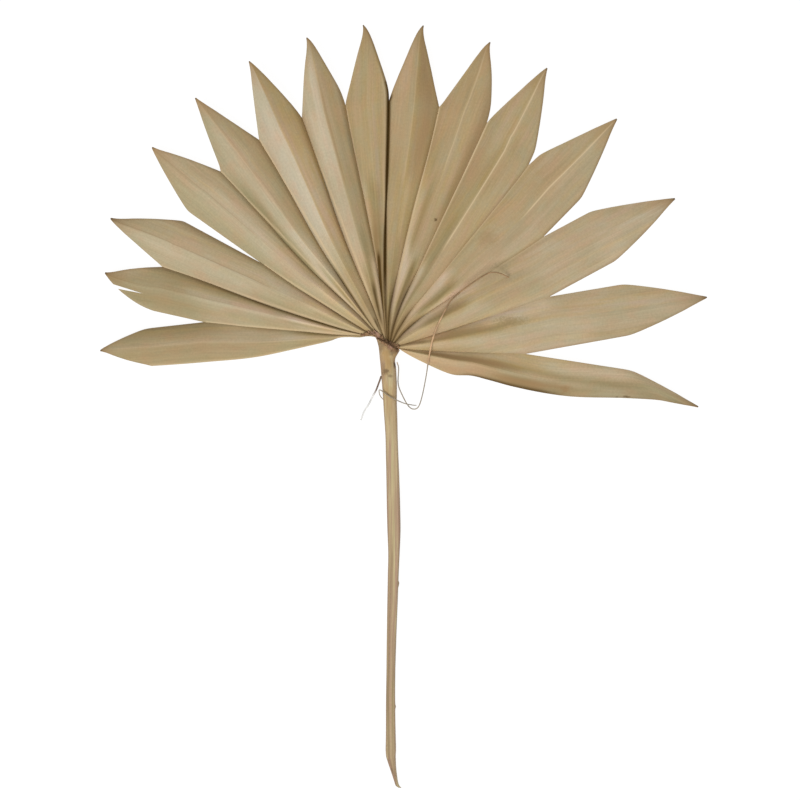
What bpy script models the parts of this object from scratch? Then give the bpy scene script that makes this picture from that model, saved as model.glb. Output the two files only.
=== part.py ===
# A dried palm spear lying on a flat surface with its underside up: a pleated fan
# of fifteen leaflets trimmed to points, its stem, and three peeled fibres.
# The fan opens towards +Y, the stem runs towards -Y and the surface is z = 0.
# Places in the tables are measured from the hub, where the leaflets meet.
import math

import bmesh
import bpy
from mathutils import Matrix, Vector
from mathutils.bvhtree import BVHTree

MM = 0.001

# The hub, measured from the middle of the whole outline
HUB = Vector((-8.3 * MM, 44.3 * MM, 0.0))

BLADE_THICKNESS = 0.95 * MM  # straight down, which is 0.65 mm through a steep pleat
SEAT_GAP = 0.3 * MM

# Heights of the fold bottoms: an arch that comes down from the hub to the rim
HUB_LEVEL = 7.6 * MM
ARCH_REACH = 165 * MM
ARCH_POWER = 1.5

# The pleats are steep at the hub and settle to each leaflet's own slope
HUB_SLOPE = 46.0
SLOPE_SETTLES = 55 * MM
TIP_LIFT = 0.35  # how far a trimmed edge rises towards the leaflet's ridge

# The line on the stem's head that the folds start from, left to right (mm)
ROOT_LINE = ((-10.6, 3.5), (-6.4, 1.4), (-2.6, -0.7), (2.2, -3.3), (7.6, -5.9))

# Rows across the fan (mm from the hub), then steps from the shoulders to the tip
ROW_REACHES = (0, 5, 11, 20, 32, 46, 62, 77, 90, 97, 109, 122, 135, 147, 157)
TAPER_STEPS = (0.0, 0.3, 0.6, 0.85, 1.0)
TIP_WIDTH = 0.8 * MM
COLUMNS = 6  # faces across one leaflet
MERGE_DISTANCE = 0.02 * MM

# Each fold, left to right: share of the root line where it starts, direction and
# reach of its notch (degrees, mm), its sideways bow and its level at the rim (mm)
FOLDS = (
    (0.00, 185.8, 157, 0.0, 3.4),
    (0.05, 174.3, 122, 0.3, 2.4),
    (0.13, 162.0, 157, 1.4, 1.6),
    (0.23, 148.8, 97, 0.0, 0.0),
    (0.32, 134.9, 157, -0.6, 1.4),
    (0.385, 122.9, 157, 0.8, 2.2),
    (0.44, 111.4, 157, -1.2, 2.8),
    (0.49, 100.5, 157, -2.5, 3.2),
    (0.54, 90.1, 157, 1.5, 3.0),
    (0.59, 77.9, 157, 2.6, 2.6),
    (0.64, 65.8, 157, 3.0, 2.2),
    (0.69, 51.5, 147, 2.1, 1.4),
    (0.75, 33.9, 122, 1.8, 0.0),
    (0.83, 15.3, 109, -0.7, 1.2),
    (0.92, -5.6, 90, -0.8, 2.4),
    (1.00, -14.6, 157, 0.0, 3.6),
)

# The free lower edges of the outermost leaflets: (reach in mm, direction)
LEFT_EDGE = (
    (11.2, 161.7),
    (18, 174.3),
    (32, 176.6),
    (46, 182.5),
    (62, 185.2),
    (97, 186.9),
    (157, 185.9),
)
RIGHT_EDGE = (
    (9.6, -37.8),
    (26, -32.4),
    (47, -28.2),
    (58, -23.3),
    (85, -20.8),
    (120, -17.6),
    (146, -14.9),
    (157, -13.9),
)

# Each leaflet, left to right: tip, left shoulder and right shoulder (direction
# and reach), the slope of its two halves (degrees), and how far its left and
# right trimmed edges bulge (mm, less than nothing where they are hollow)
LEAFLETS = (
    (182.0, 190, 185.8, 159, 177.2, 160, 24, 0.6, 0.8),
    (166.6, 192, 172.8, 156, 162.2, 158, 28, 3.2, 0.6),
    (156.3, 200, 161.7, 158, 149.9, 157, 31, 0.4, 0.4),
    (140.8, 201, 147.2, 158, 135.4, 160, 35, 0.6, 0.4),
    (128.6, 204, 134.4, 158, 123.4, 160, 36, 0.3, -0.2),
    (116.6, 205, 122.6, 159, 111.7, 161, 37, -0.2, 0.6),
    (105.2, 206, 111.0, 159, 100.8, 165, 40, 0.0, 0.6),
    (94.7, 208, 100.2, 160, 90.4, 166, 40, -0.8, 1.0),
    (83.8, 208, 89.6, 161, 78.1, 158, 37, 0.8, -0.8),
    (71.3, 207, 77.5, 158, 66.2, 165, 35, 0.4, 0.8),
    (59.9, 207, 65.4, 161, 52.5, 158, 26, 0.3, 0.3),
    (44.2, 209, 50.9, 158, 36.6, 158, 16, 0.0, 0.3),
    (26.4, 210, 32.6, 158, 19.4, 158, 20, 0.6, 0.8),
    (7.75, 211, 13.5, 159, 1.3, 159, 27, 0.6, 0.8),
    (-12.1, 208, -7.0, 161, -12.4, 180, 27, 0.4, 0.0),
)

# The tear in the second leaflet's tip: where it opens and where it ends
TEAR_MOUTH = (168.7, 192)
TEAR_END = (169.2, 165)
TEAR_WIDTH = 3.2 * MM
TEAR_DEPTH = 30 * MM

# Sections of the stem, cut end first: place along Y, left and right edge, lowest
# and highest point (mm), and how far the section is turned (degrees)
STEM_SECTIONS = (
    (-294.4, 7.4, 8.2, 1.8, 2.6, 0),
    (-292.6, 4.6, 6.9, 1.0, 3.2, 0),
    (-289.2, 2.8, 5.8, 0.3, 3.9, 0),
    (-284.0, 1.0, 5.1, 0.0, 4.4, 0),
    (-277.0, -1.1, 4.4, 0.0, 4.9, 0),
    (-273.0, -1.8, 4.2, 0.0, 5.0, 0),
    (-260.0, -1.7, 3.9, 0.5, 5.3, 0),
    (-239.0, -1.6, 3.6, 0.8, 5.6, 0),
    (-218.0, -1.3, 3.7, 1.0, 6.0, 0),
    (-197.0, -1.1, 4.3, 1.2, 6.4, 0),
    (-176.0, -0.8, 5.1, 1.4, 6.9, 0),
    (-155.0, -0.4, 5.9, 1.6, 7.4, 0),
    (-140.0, -0.1, 6.5, 1.7, 7.7, 0),
    (-125.0, -0.6, 7.1, 1.8, 8.0, 0),
    (-110.0, -1.0, 6.9, 1.9, 8.2, 0),
    (-94.0, -1.3, 6.4, 2.1, 8.5, 0),
    (-78.0, -1.6, 5.8, 2.3, 8.8, 0),
    (-64.0, -1.9, 5.3, 2.5, 9.2, 0),
    (-54.0, -2.5, 5.1, 2.6, 9.5, 0),
    (-42.0, -3.4, 4.8, 2.7, 10.0, 0),
    (-30.0, -4.5, 5.2, 2.8, 10.5, 0),
    (-23.0, -5.1, 4.9, 2.9, 10.9, 4),
    (-17.0, -5.6, 4.6, 3.0, 11.2, 8),
    (-12.4, -6.1, 4.0, 3.0, 11.4, 12),
    (-9.6, -6.4, 4.4, 3.1, 11.7, 17),
    (-6.6, -7.2, 5.6, 3.1, 12.0, 22),
    (-3.6, -8.8, 6.6, 3.2, 12.0, 27),
    (-2.2, -9.9, 7.0, 3.2, 11.3, 28),
    (-1.8, -9.4, 6.6, 3.3, 7.2, 28),
    (4.0, -6.0, 5.2, 3.5, 6.95, 16),
    (10.0, -3.6, 4.4, 4.2, 6.4, 0),
)
STEM_SIDES = 20
SHARP_ANGLE = 40.0
FLAT_SHARE = 0.7  # a section that touches the surface is cut off flat at this depth

# Peeled fibres: points along each, measured from the hub (mm)
FIBRE_RADIUS = 0.35 * MM
FIBRE_STEPS = 4  # straight pieces between two points
FIBRE_LIFT = 1.5 * (FIBRE_RADIUS + SEAT_GAP)  # from a sloping blade to its middle
TAUT_PASSES = 200
ABOVE_ALL = 100 * MM
LONG_FIBRE = (
    (5.2, -14.2, 7.4),
    (6.3, -18.4, 7.2),
    (6.0, -28.4, 6.0),
    (8.7, -35.9, 4.4),
    (12.7, -43.0, 2.2),
    (16.1, -45.1, 1.5),
    (19.4, -43.5, 2.0),
    (21.9, -35.9, 3.9),
    (24.5, -22.6, 7.4),
    (25.7, -14.2, 9.0),
    (27.8, -2.5, 9.5),
    (30.3, 5.9, 9.5),
    (32.8, 11.8, 9.5),
    (37.9, 21.8, 9.5),
    (42.0, 27.6, 9.5),
    (53.8, 37.1, 9.0),
    (65.3, 44.1, 8.5),
    (72.4, 44.1, 8.0),
    (78.7, 41.3, 8.0),
)
CROSSING_FIBRE = (
    (18.0, -42.6, 3.2),
    (16.0, -42.5, 4.0),
    (11.0, -41.6, 5.6),
    (6.6, -39.9, 8.6),
    (4.0, -38.6, 10.3),
    (0.5, -36.9, 11.1),
    (-3.0, -34.4, 10.5),
    (-5.6, -32.6, 8.0),
    (-6.6, -33.0, 5.0),
    (-6.0, -36.0, 2.9),
    (-4.2, -38.4, 1.9),
    (-1.5, -40.2, 1.5),
)
LEFT_FIBRE = (
    (-5.9, -25.2, 6.6),
    (-6.9, -28.4, 5.4),
    (-8.6, -32.8, 3.8),
    (-11.1, -37.2, 2.5),
    (-13.6, -42.2, 1.6),
    (-16.7, -47.2, 1.1),
    (-18.6, -52.5, 0.8),
)


def polar(direction, reach):
    """The flat point in this direction from the hub (degrees, metres)."""
    angle = math.radians(direction)
    return Vector((reach * math.cos(angle), reach * math.sin(angle)))


def between(pairs, at):
    """The value at a place, read straight between (place, value) pairs."""
    for (low, a), (high, b) in zip(pairs, pairs[1:]):
        if at <= high:
            break
    return a + (b - a) * (at - low) / (high - low)


def along(points, share):
    """The point that lies this share of the way along a broken line."""
    points = [Vector(point) * MM for point in points]
    lengths = [(b - a).length for a, b in zip(points, points[1:])]
    left = share * sum(lengths)
    for a, b, length in zip(points, points[1:], lengths):
        if left <= length:
            break
        left -= length
    return a.lerp(b, min(left / length, 1.0))


def fold_point(fold, reach):
    """A flat point on a fold, this far (mm) along it from the root line."""
    share, direction, notch, bow, _ = FOLDS[fold]
    step = reach / notch
    outer_edge = {0: LEFT_EDGE, len(FOLDS) - 1: RIGHT_EDGE}.get(fold)
    if outer_edge:
        first = outer_edge[0][0]
        from_hub = first + (notch - first) * step
        return polar(between(outer_edge, from_hub), from_hub * MM)
    root = along(ROOT_LINE, share)
    notch_point = polar(direction, notch * MM)
    sideways = (notch_point - root).normalized().orthogonal()
    # The bow is widest a third of the way out, where this shape reaches one
    bow_shape = step * (1 - step) ** 2 * 27 / 4
    return root.lerp(notch_point, step) + sideways * bow * MM * bow_shape


def fold_level(fold, reach):
    rim_level = FOLDS[fold][4] * MM
    step = min(reach / ARCH_REACH, 1.0)
    return rim_level + (HUB_LEVEL - rim_level) * (1 - step) ** ARCH_POWER


def edge_line(leaflet, side):
    """One edge of a leaflet from its root to its tip: side 0 is left, 1 is right."""
    tip_direction, tip_reach = LEAFLETS[leaflet][:2]
    shoulder_direction, shoulder_reach = LEAFLETS[leaflet][2 + 2 * side : 4 + 2 * side]
    tip = polar(tip_direction, tip_reach * MM)
    shoulder = polar(shoulder_direction, shoulder_reach * MM)
    fold = leaflet + side
    notch = FOLDS[fold][2]
    notch_point = fold_point(fold, notch)
    bulge = LEAFLETS[leaflet][7 + side] * MM
    points = []
    for reach in ROW_REACHES:
        if reach <= notch:
            points.append(fold_point(fold, reach))
        else:
            step = (reach - notch) / (shoulder_reach - notch)
            points.append(notch_point.lerp(shoulder, step))
    outward = polar(tip_direction + 90 - 180 * side, 1.0)
    for step in TAPER_STEPS:
        aside = 4 * step * (1 - step) * bulge + step * TIP_WIDTH / 2
        points.append(shoulder.lerp(tip, step) + outward * aside)
    return points


def add_leaflet(blade, leaflet):
    """Adds one leaflet to the open sheet, as a grid bent into a pleat."""
    left = edge_line(leaflet, 0)
    right = edge_line(leaflet, 1)
    rows = len(left) - 1
    shoulder_row = len(ROW_REACHES)
    shoulder_width = (right[shoulder_row] - left[shoulder_row]).length
    own_slope = LEAFLETS[leaflet][6]
    grid = bmesh.ops.create_grid(blade, x_segments=COLUMNS, y_segments=rows, size=1.0)
    for vertex in grid["verts"]:
        across = (vertex.co.x + 1) / 2
        row = round((vertex.co.y + 1) / 2 * rows)
        place = left[row].lerp(right[row], across)
        reach = left[row].lerp(right[row], 0.5).length
        half_width = (right[row] - left[row]).length / 2
        slope = own_slope + (HUB_SLOPE - own_slope) * math.exp(-reach / SLOPE_SETTLES)
        left_level = fold_level(leaflet, left[row].length)
        right_level = fold_level(leaflet + 1, right[row].length)
        height = left_level + (right_level - left_level) * across
        if row > shoulder_row:
            lost_width = shoulder_width / 2 - half_width
            height += TIP_LIFT * lost_width * math.tan(math.radians(own_slope))
        pleat = half_width * math.tan(math.radians(slope))
        height += pleat * (1 - abs(2 * across - 1))
        vertex.co = HUB + Vector((*place, height + BLADE_THICKNESS))


def fan_blade(parts, cutters):
    blade = bmesh.new()
    for leaflet in range(len(LEAFLETS)):
        add_leaflet(blade, leaflet)
    bmesh.ops.remove_doubles(blade, verts=blade.verts, dist=MERGE_DISTANCE)
    bmesh.ops.triangulate(blade, faces=blade.faces)
    sheet = blade.faces[:]
    under = bmesh.ops.extrude_face_region(blade, geom=sheet, use_keep_orig=True)
    moved = [item for item in under["geom"] if isinstance(item, bmesh.types.BMVert)]
    bmesh.ops.translate(blade, verts=moved, vec=(0, 0, -BLADE_THICKNESS))
    bmesh.ops.recalc_face_normals(blade, faces=blade.faces)
    colour = (0.42, 0.33, 0.20)
    made = finished(parts, blade, "fan_blade", material("dried leaf", colour, 0.75))
    tear = made.modifiers.new("tear", "BOOLEAN")
    tear.operation = "DIFFERENCE"
    tear.object = tear_cutter(cutters)
    return made


def tear_cutter(cutters):
    """A three-sided wedge that widens from the tear's end to its mouth."""
    mouth = polar(TEAR_MOUTH[0], TEAR_MOUTH[1] * MM)
    end = polar(TEAR_END[0], TEAR_END[1] * MM)
    inward = end - mouth
    turn = math.atan2(inward.y, inward.x) - math.pi / 2
    # A three-sided unit cone is 1.5 long, from its base to its corner on +Y
    size = (TEAR_WIDTH / math.sqrt(3), inward.length / 1.5, TEAR_DEPTH, 1.0)
    middle = HUB + Vector((*mouth.lerp(end, 1 / 3), 0.0))
    place = Matrix.Translation(middle) @ Matrix.Rotation(turn, 4, "Z") @ Matrix.Diagonal(size)
    wedge = bmesh.new()
    bmesh.ops.create_cone(
        wedge, cap_ends=True, segments=3, radius1=1.0, radius2=1.0, depth=1.0, matrix=place
    )
    made = finished(cutters, wedge, "tear_cutter", material("cutter", (0.5, 0.5, 0.5), 0.5))
    made.hide_render = True
    made.display_type = "WIRE"
    return made


def stem(parts):
    """The stem, from its slanting cut end to the tongue that carries the blade."""
    shape = bmesh.new()
    rings = []
    for number, section in enumerate(STEM_SECTIONS):
        place, left, right, low, high = (value * MM for value in section[:5])
        turn = math.tan(math.radians(section[5]))
        capped = number in (0, len(STEM_SECTIONS) - 1)
        ring = bmesh.ops.create_circle(
            shape, cap_ends=capped, segments=STEM_SIDES, radius=1.0
        )["verts"]
        half_width = (right - left) / 2
        touches = low == 0.0
        for vertex in ring:
            across, up = vertex.co.x, vertex.co.y
            if touches:
                half_height = high / (1 + FLAT_SHARE)
                z = max(high - half_height + up * half_height, 0.0)
            else:
                z = (low + high) / 2 + up * (high - low) / 2
            x = (left + right) / 2 + across * half_width
            y = place - across * half_width * turn
            vertex.co = HUB + Vector((x, y, z))
        rings.append(set(ring))
    for lower, upper in zip(rings, rings[1:]):
        around = {edge for vertex in lower | upper for edge in vertex.link_edges}
        loops = [e for e in around if set(e.verts) <= lower or set(e.verts) <= upper]
        bmesh.ops.bridge_loops(shape, edges=loops)
    bmesh.ops.recalc_face_normals(shape, faces=shape.faces)
    colour = (0.45, 0.34, 0.21)
    made = finished(parts, shape, "stem", material("dried stem", colour, 0.7))
    made.data.shade_smooth()
    made.data.set_sharp_from_angle(angle=math.radians(SHARP_ANGLE))
    return made


def smooth_route(points):
    """Points along a smooth curve that passes through the given ones."""
    points = [Vector(point) * MM for point in points]
    padded = [points[0] * 2 - points[1], *points, points[-1] * 2 - points[-2]]
    route = []
    for before, start, end, after in zip(padded, padded[1:], padded[2:], padded[3:]):
        for number in range(FIBRE_STEPS):
            t = number / FIBRE_STEPS
            out = (end - before) / 2
            into = (after - start) / 2
            blend = start * (2 * t**3 - 3 * t**2 + 1) + end * (3 * t**2 - 2 * t**3)
            route.append(blend + out * (t**3 - 2 * t**2 + t) + into * (t**3 - t**2))
    return [*route, points[-1]]


def lay_on_blade(route, blade):
    """Lifts a route over the blade's ridges, pulled straight between them."""
    graph = bpy.context.evaluated_depsgraph_get()
    tree = BVHTree.FromObject(blade, graph)
    over = []
    for number, point in enumerate(route):
        start = HUB + Vector((point.x, point.y, ABOVE_ALL))
        hit = tree.ray_cast(start, Vector((0, 0, -1)))[0]
        if hit:
            over.append(number)
            point.z = max(point.z, hit.z + FIBRE_LIFT)
    for _ in range(TAUT_PASSES):
        for number in over[:-1]:
            level = (route[number - 1].z + route[number + 1].z) / 2
            route[number].z = max(route[number].z, level)


def fibre(parts, name, route):
    curve = bpy.data.curves.new(name, "CURVE")
    curve.dimensions = "3D"
    curve.bevel_depth = FIBRE_RADIUS
    curve.bevel_resolution = 1
    curve.use_fill_caps = True
    spline = curve.splines.new("POLY")
    spline.points.add(len(route) - 1)
    for place, point in zip(spline.points, route):
        place.co = (*(HUB + point), 1.0)
    curve.materials.append(material(f"{name} straw", (0.40, 0.29, 0.18), 0.8))
    made = bpy.data.objects.new(name, curve)
    parts.objects.link(made)
    return made


def finished(collection, shape, name, finish):
    mesh = bpy.data.meshes.new(name)
    shape.to_mesh(mesh)
    shape.free()
    mesh.materials.append(finish)
    made = bpy.data.objects.new(name, mesh)
    collection.objects.link(made)
    return made


def material(name, colour, roughness):
    made = bpy.data.materials.new(name)
    made.use_nodes = True
    shader = made.node_tree.nodes["Principled BSDF"]
    shader.inputs["Base Color"].default_value = (*colour, 1.0)
    shader.inputs["Roughness"].default_value = roughness
    shader.inputs["Metallic"].default_value = 0.0
    return made


def main():
    for old in list(bpy.data.objects):
        bpy.data.objects.remove(old, do_unlink=True)
    parts = bpy.data.collections.new("dried_palm_spear")
    cutters = bpy.data.collections.new("cutters")
    bpy.context.scene.collection.children.link(parts)
    bpy.context.scene.collection.children.link(cutters)

    blade = fan_blade(parts, cutters)
    stem(parts)

    long_route = smooth_route(LONG_FIBRE)
    lay_on_blade(long_route, blade)
    fibre(parts, "fibre_long", long_route)
    fibre(parts, "fibre_crossing", smooth_route(CROSSING_FIBRE))
    fibre(parts, "fibre_left", smooth_route(LEFT_FIBRE))


main()
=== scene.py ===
import math

import bpy
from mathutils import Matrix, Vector, noise
from mathutils.bvhtree import BVHTree


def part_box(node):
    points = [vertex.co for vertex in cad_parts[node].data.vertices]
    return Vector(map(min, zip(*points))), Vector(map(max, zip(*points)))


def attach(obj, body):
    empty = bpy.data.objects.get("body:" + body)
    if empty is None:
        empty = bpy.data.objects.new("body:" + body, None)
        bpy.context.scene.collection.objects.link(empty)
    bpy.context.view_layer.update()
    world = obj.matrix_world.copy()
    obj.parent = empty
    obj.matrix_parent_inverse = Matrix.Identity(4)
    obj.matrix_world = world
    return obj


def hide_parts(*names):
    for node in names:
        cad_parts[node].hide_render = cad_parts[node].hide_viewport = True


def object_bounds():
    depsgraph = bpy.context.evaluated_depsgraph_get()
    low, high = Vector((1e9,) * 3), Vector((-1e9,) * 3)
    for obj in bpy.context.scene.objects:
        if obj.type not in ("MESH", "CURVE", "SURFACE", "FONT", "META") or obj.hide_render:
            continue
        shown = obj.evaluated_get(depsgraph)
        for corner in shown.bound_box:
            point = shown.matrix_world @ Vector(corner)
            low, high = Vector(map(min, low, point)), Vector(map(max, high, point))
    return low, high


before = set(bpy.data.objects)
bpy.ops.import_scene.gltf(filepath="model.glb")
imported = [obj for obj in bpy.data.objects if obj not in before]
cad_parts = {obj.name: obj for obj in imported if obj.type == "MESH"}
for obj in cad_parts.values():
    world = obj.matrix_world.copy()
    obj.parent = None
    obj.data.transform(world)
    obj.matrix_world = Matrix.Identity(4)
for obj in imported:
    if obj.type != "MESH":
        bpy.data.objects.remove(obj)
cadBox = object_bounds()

mm = 0.001

# the hub, where the leaflets meet, worked out from the stem's outline
stemLow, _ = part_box("stem")
hub = Vector((stemLow.x + 9.9 * mm, stemLow.y + 294.4 * mm, 0.0))

studio = {
    "pixel": 0.6572 * mm,      # size of one picture point on the leaf
    "frameSide": 800,
    "frameCentre": (7.2 * mm, -39.1 * mm),   # middle of the picture, from the hub
    "sharpLevel": 6 * mm,      # height where the scale is exact
    "lens": 180.0,
    "sensor": 36.0,
    "keyTurn": 245.0,          # where the window light stands, counter-clockwise from +X
    "keyRise": 46.0,
    "keyDistance": 1.7,
    "keySize": 0.9,
    "keyPower": 20.9,
    "skyStrength": 0.55,
    "floorGlow": 0.93,         # a floor lit from below, which keeps hardly any shadow
    "floorTone": (0.12, 0.12, 0.12),
}

blade = {
    "thickness": 0.45 * mm,
    "middle": 0.47 * mm,       # height of the sheet's middle above its folds
    "restLevel": 0.26 * mm,    # the sheet's middle never sinks below this
    "hubLevel": 7.6 * mm,
    "archReach": 165.0,        # mm from the hub where the folds reach their level at the rim
    "archPower": 1.5,
    "hubSlope": 50.0,          # slope of the halves at the hub (degrees)
    "tipLift": 0.5,            # share of a pleat's height that its tip keeps
    "rowStep": 1.9,            # mm between rows
    "taperRows": 27,           # rows of the trimmed part
    "halfColumns": (0.0, 0.035, 0.1, 0.19, 0.29, 0.4, 0.51, 0.62, 0.73, 0.82, 0.89, 0.93, 0.965, 1.0),
    "ripple": 0.09 * mm,       # depth of the soft lengthwise channels
    "rippleWidth": 14 * mm,    # half width of a leaflet whose channels are that deep
    "wave": 0.7 * mm,          # how much the free edges wave
    "spikeWidth": 0.9 * mm,    # width kept towards the tips
    "pinch": 0.45,             # how much a leaflet narrows just before its tip
    "pinchStart": 0.72,        # where that begins, share of the trimmed part
    "roundPasses": 3,          # how much the shoulders are rounded
    "hookPeak": 0.0566,        # largest value of the curve that hooks the tips
    "pullNear": (22, 22),      # where the folds lean to the left: middle and half length (mm)
    "pullFar": (72, 46),
    "nearReach": 40 * mm,      # how fast what is special at the hub fades outwards
    "hubFall": 0.3,            # share of the drop in the steep fall at a fold, at the hub
    "fallStart": 0.8,          # where that steep fall begins, share of the half
}

# mm from the hub where the rows of the fan lie closer or wider
rowReaches = (0, 5, 11, 20, 32, 46, 62, 77, 90, 97, 109, 122, 135, 147, 157)

# line on the stem's head that the folds start from, left to right (mm)
rootLine = ((-10.6, 3.5), (-6.4, 1.4), (-2.6, -0.7), (2.2, -3.3), (7.6, -5.9))

# each fold, left to right: share of the root line, direction and reach of its
# notch (degrees, mm), sideways bow (mm), level at the rim (mm), pull to the left
# near the hub and halfway out (mm)
folds = (
    (0.00, 185.8, 157, 0.0, 3.4, 0.0, 0.0),
    (0.05, 174.3, 122, 0.3, 2.4, 0.9, 0.8),
    (0.13, 162.0, 157, 1.4, 1.6, 0.6, 1.4),
    (0.23, 148.8, 97, 0.0, 0.0, 0.6, 1.3),
    (0.32, 134.9, 157, -0.6, 1.4, -0.6, 2.5),
    (0.38, 122.9, 157, 0.8, 2.2, 0.5, 2.3),
    (0.44, 111.4, 157, -1.2, 2.8, -0.4, 2.5),
    (0.485, 100.5, 157, -2.5, 3.2, 0.3, 0.0),
    (0.53, 90.05, 157, 1.6, 3.0, 0.0, 0.3),
    (0.575, 77.9, 157, 2.6, 2.6, 1.7, 1.0),
    (0.615, 65.8, 157, 3.0, 2.2, 1.5, -0.5),
    (0.655, 51.5, 147, 2.1, 1.4, 1.8, -0.4),
    (0.71, 33.9, 122, 1.8, 0.0, 1.9, 1.3),
    (0.80, 15.3, 109, -0.7, 1.2, 0.0, 0.0),
    (0.92, -5.6, 90, -0.8, 2.4, 0.0, 0.0),
    (1.00, -14.6, 157, 0.0, 3.6, 0.0, 0.0),
)

# free lower edges of the two outermost leaflets: reach (mm), direction
leftEdge = ((11.2, 161.7), (18, 172.5), (26, 174.6), (33, 176.6), (38, 179.9), (46, 182.4),
            (62, 185.1), (86, 187.0), (120, 186.7), (157, 186.1))
rightEdge = ((9.6, -37.8), (26, -32.4), (47, -28.2), (58, -23.3), (70, -21.6), (85, -20.5),
             (120, -17.6), (146, -14.9), (157, -13.9))

# each leaflet, left to right: tip, left and right shoulder (direction, reach in mm),
# bulge of its left and right trimmed edge (mm)
leaflets = (
    (182.0, 190, 185.8, 159, 177.2, 160, 0.6, 0.8),
    (166.6, 192, 172.8, 156, 162.2, 158, 3.2, 0.6),
    (156.3, 200, 161.7, 158, 149.9, 157, 0.4, 0.4),
    (140.8, 201, 147.2, 158, 135.4, 160, 0.6, 0.4),
    (128.6, 204, 134.4, 158, 123.4, 160, 0.3, -0.2),
    (116.6, 205, 122.6, 159, 111.7, 161, -0.2, 0.6),
    (105.2, 206, 111.0, 159, 100.8, 165, 0.0, 0.6),
    (94.7, 208, 100.2, 160, 89.95, 163, -0.8, 1.2),
    (83.8, 208, 89.6, 161, 78.1, 158, 0.8, -0.8),
    (71.3, 207, 77.5, 158, 66.2, 165, 0.4, 0.8),
    (59.9, 207, 65.4, 161, 52.5, 158, 0.3, 0.3),
    (44.2, 209, 50.9, 158, 36.6, 158, 0.0, 0.3),
    (26.4, 210, 32.6, 158, 19.4, 158, 0.6, 0.8),
    (7.75, 211, 13.5, 159, 1.3, 159, 0.6, 0.8),
    (-12.1, 208, -7.0, 161, -12.4, 180, 0.4, 0.0),
)

# where a ridge leaves the middle of its leaflet: the leaflet, counted from 0, then reach
# (mm) and share of the width from the left edge
ridgePlaces = {
    1: ((0, 0.72), (60, 0.70), (108, 0.62), (160, 0.53), (200, 0.5)),
    2: ((0, 0.64), (50, 0.62), (90, 0.53), (200, 0.5)),
    3: ((0, 0.64), (50, 0.62), (90, 0.53), (200, 0.5)),
    4: ((0, 0.68), (45, 0.67), (62, 0.62), (84, 0.54), (120, 0.5), (200, 0.5)),
    6: ((0, 0.36), (20, 0.34), (48, 0.47), (160, 0.5), (200, 0.5)),
    13: ((0, 0.43), (45, 0.43), (88, 0.40), (140, 0.48), (200, 0.5)),
    14: ((0, 0.34), (42, 0.34), (75, 0.53), (105, 0.62), (140, 0.48), (161, 0.44), (200, 0.44)),
}

# slope of each leaflet's halves (degrees) at these reaches (mm)
slopeReaches = (35, 90, 150)
slopes = (
    (30, 14, 14),
    (37, 22, 16),
    (34, 18, 20),
    (40, 26, 20),
    (38, 32, 23),
    (36, 37, 35),
    (38, 39, 38),
    (44, 30, 24),
    (38, 26, 32),
    (42, 22, 20),
    (36, 22, 18),
    (28, 17, 16),
    (36, 18, 14),
    (38, 16, 12),
    (34, 8, 6),
)

# how each leaflet is finished: paleness, warmth, patchiness, ridge line (dark below 0,
# pale above), pale seam on its left side (its own paler margin with a painted highlight),
# softness of its ridge, share of the drop in the steep fall at its left and right fold,
# sideways hook of its tip (mm), tone of its left and right half (painted light and shade),
# hue of its left and right half (grey below 0, golden above)
finishes = (
    (0.20, 0.30, 0.3, 0.2, 0.3, 0.10, 0.10, 0.25, 0.3, -0.45, -0.05, -0.20, -0.10),
    (0.40, 0.35, 0.4, -0.5, 0.4, 0.10, 0.10, 0.40, -0.5, -0.25, -0.15, -0.45, 0.05),
    (0.50, 0.30, 0.3, -0.7, 0.4, 0.04, 0.10, 0.40, -0.6, -0.25, 0.20, -0.60, 0.30),
    (0.55, 0.20, 0.2, -0.5, 0.5, 0.02, 0.10, 0.40, -0.3, -0.45, 0.25, -0.45, 0.25),
    (0.60, 0.25, 0.2, 0.3, 0.5, 0.06, 0.10, 0.35, 0.0, -0.38, -0.12, -0.65, 0.35),
    (0.80, 0.15, 0.1, 0.1, 0.6, 0.03, 0.10, 0.40, 0.3, 0.02, 0.02, -0.80, 0.80),
    (0.75, 0.25, 0.1, 0.2, 0.6, 0.12, 0.15, 0.35, 0.8, -0.05, 0.08, -0.40, 0.50),
    (0.30, 0.40, 0.1, 0.1, 0.8, 0.30, 0.15, 0.45, 1.1, -0.10, 0.15, 0.40, 0.60),
    (0.20, 0.60, 0.2, 0.3, 0.4, 0.15, 0.25, 0.25, -1.0, -0.10, -0.20, 0.38, 1.00),
    (0.30, 0.60, 0.3, 0.5, 0.9, 0.20, 0.15, 0.25, -0.9, -0.10, 0.10, 0.55, 0.38),
    (0.30, 0.50, 0.3, 1.0, 1.0, 0.04, 0.10, 0.15, -0.4, -0.20, 0.10, 0.42, 0.50),
    (0.40, 0.40, 0.4, 1.0, 0.5, 0.07, 0.10, 0.10, -0.3, 0.10, 0.10, 0.45, 0.10),
    (0.50, 0.30, 0.5, 0.1, 0.4, 0.20, 0.10, 0.10, -0.2, 0.40, 0.20, 0.35, -0.05),
    (0.45, 0.35, 0.6, 0.0, 0.3, 0.20, 0.10, 0.10, 0.0, 0.40, 0.15, 0.45, -0.25),
    (0.40, 0.50, 0.5, 0.0, 0.0, 0.10, 0.10, 0.10, 0.0, 0.20, -0.25, 0.20, -0.20),
)

# where the ridge line begins (mm), for the leaflets that don't show it near the hub
ridgeFrom = {2: 80, 3: 105, 8: 100, 9: 115, 10: 66, 11: 116}
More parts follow.
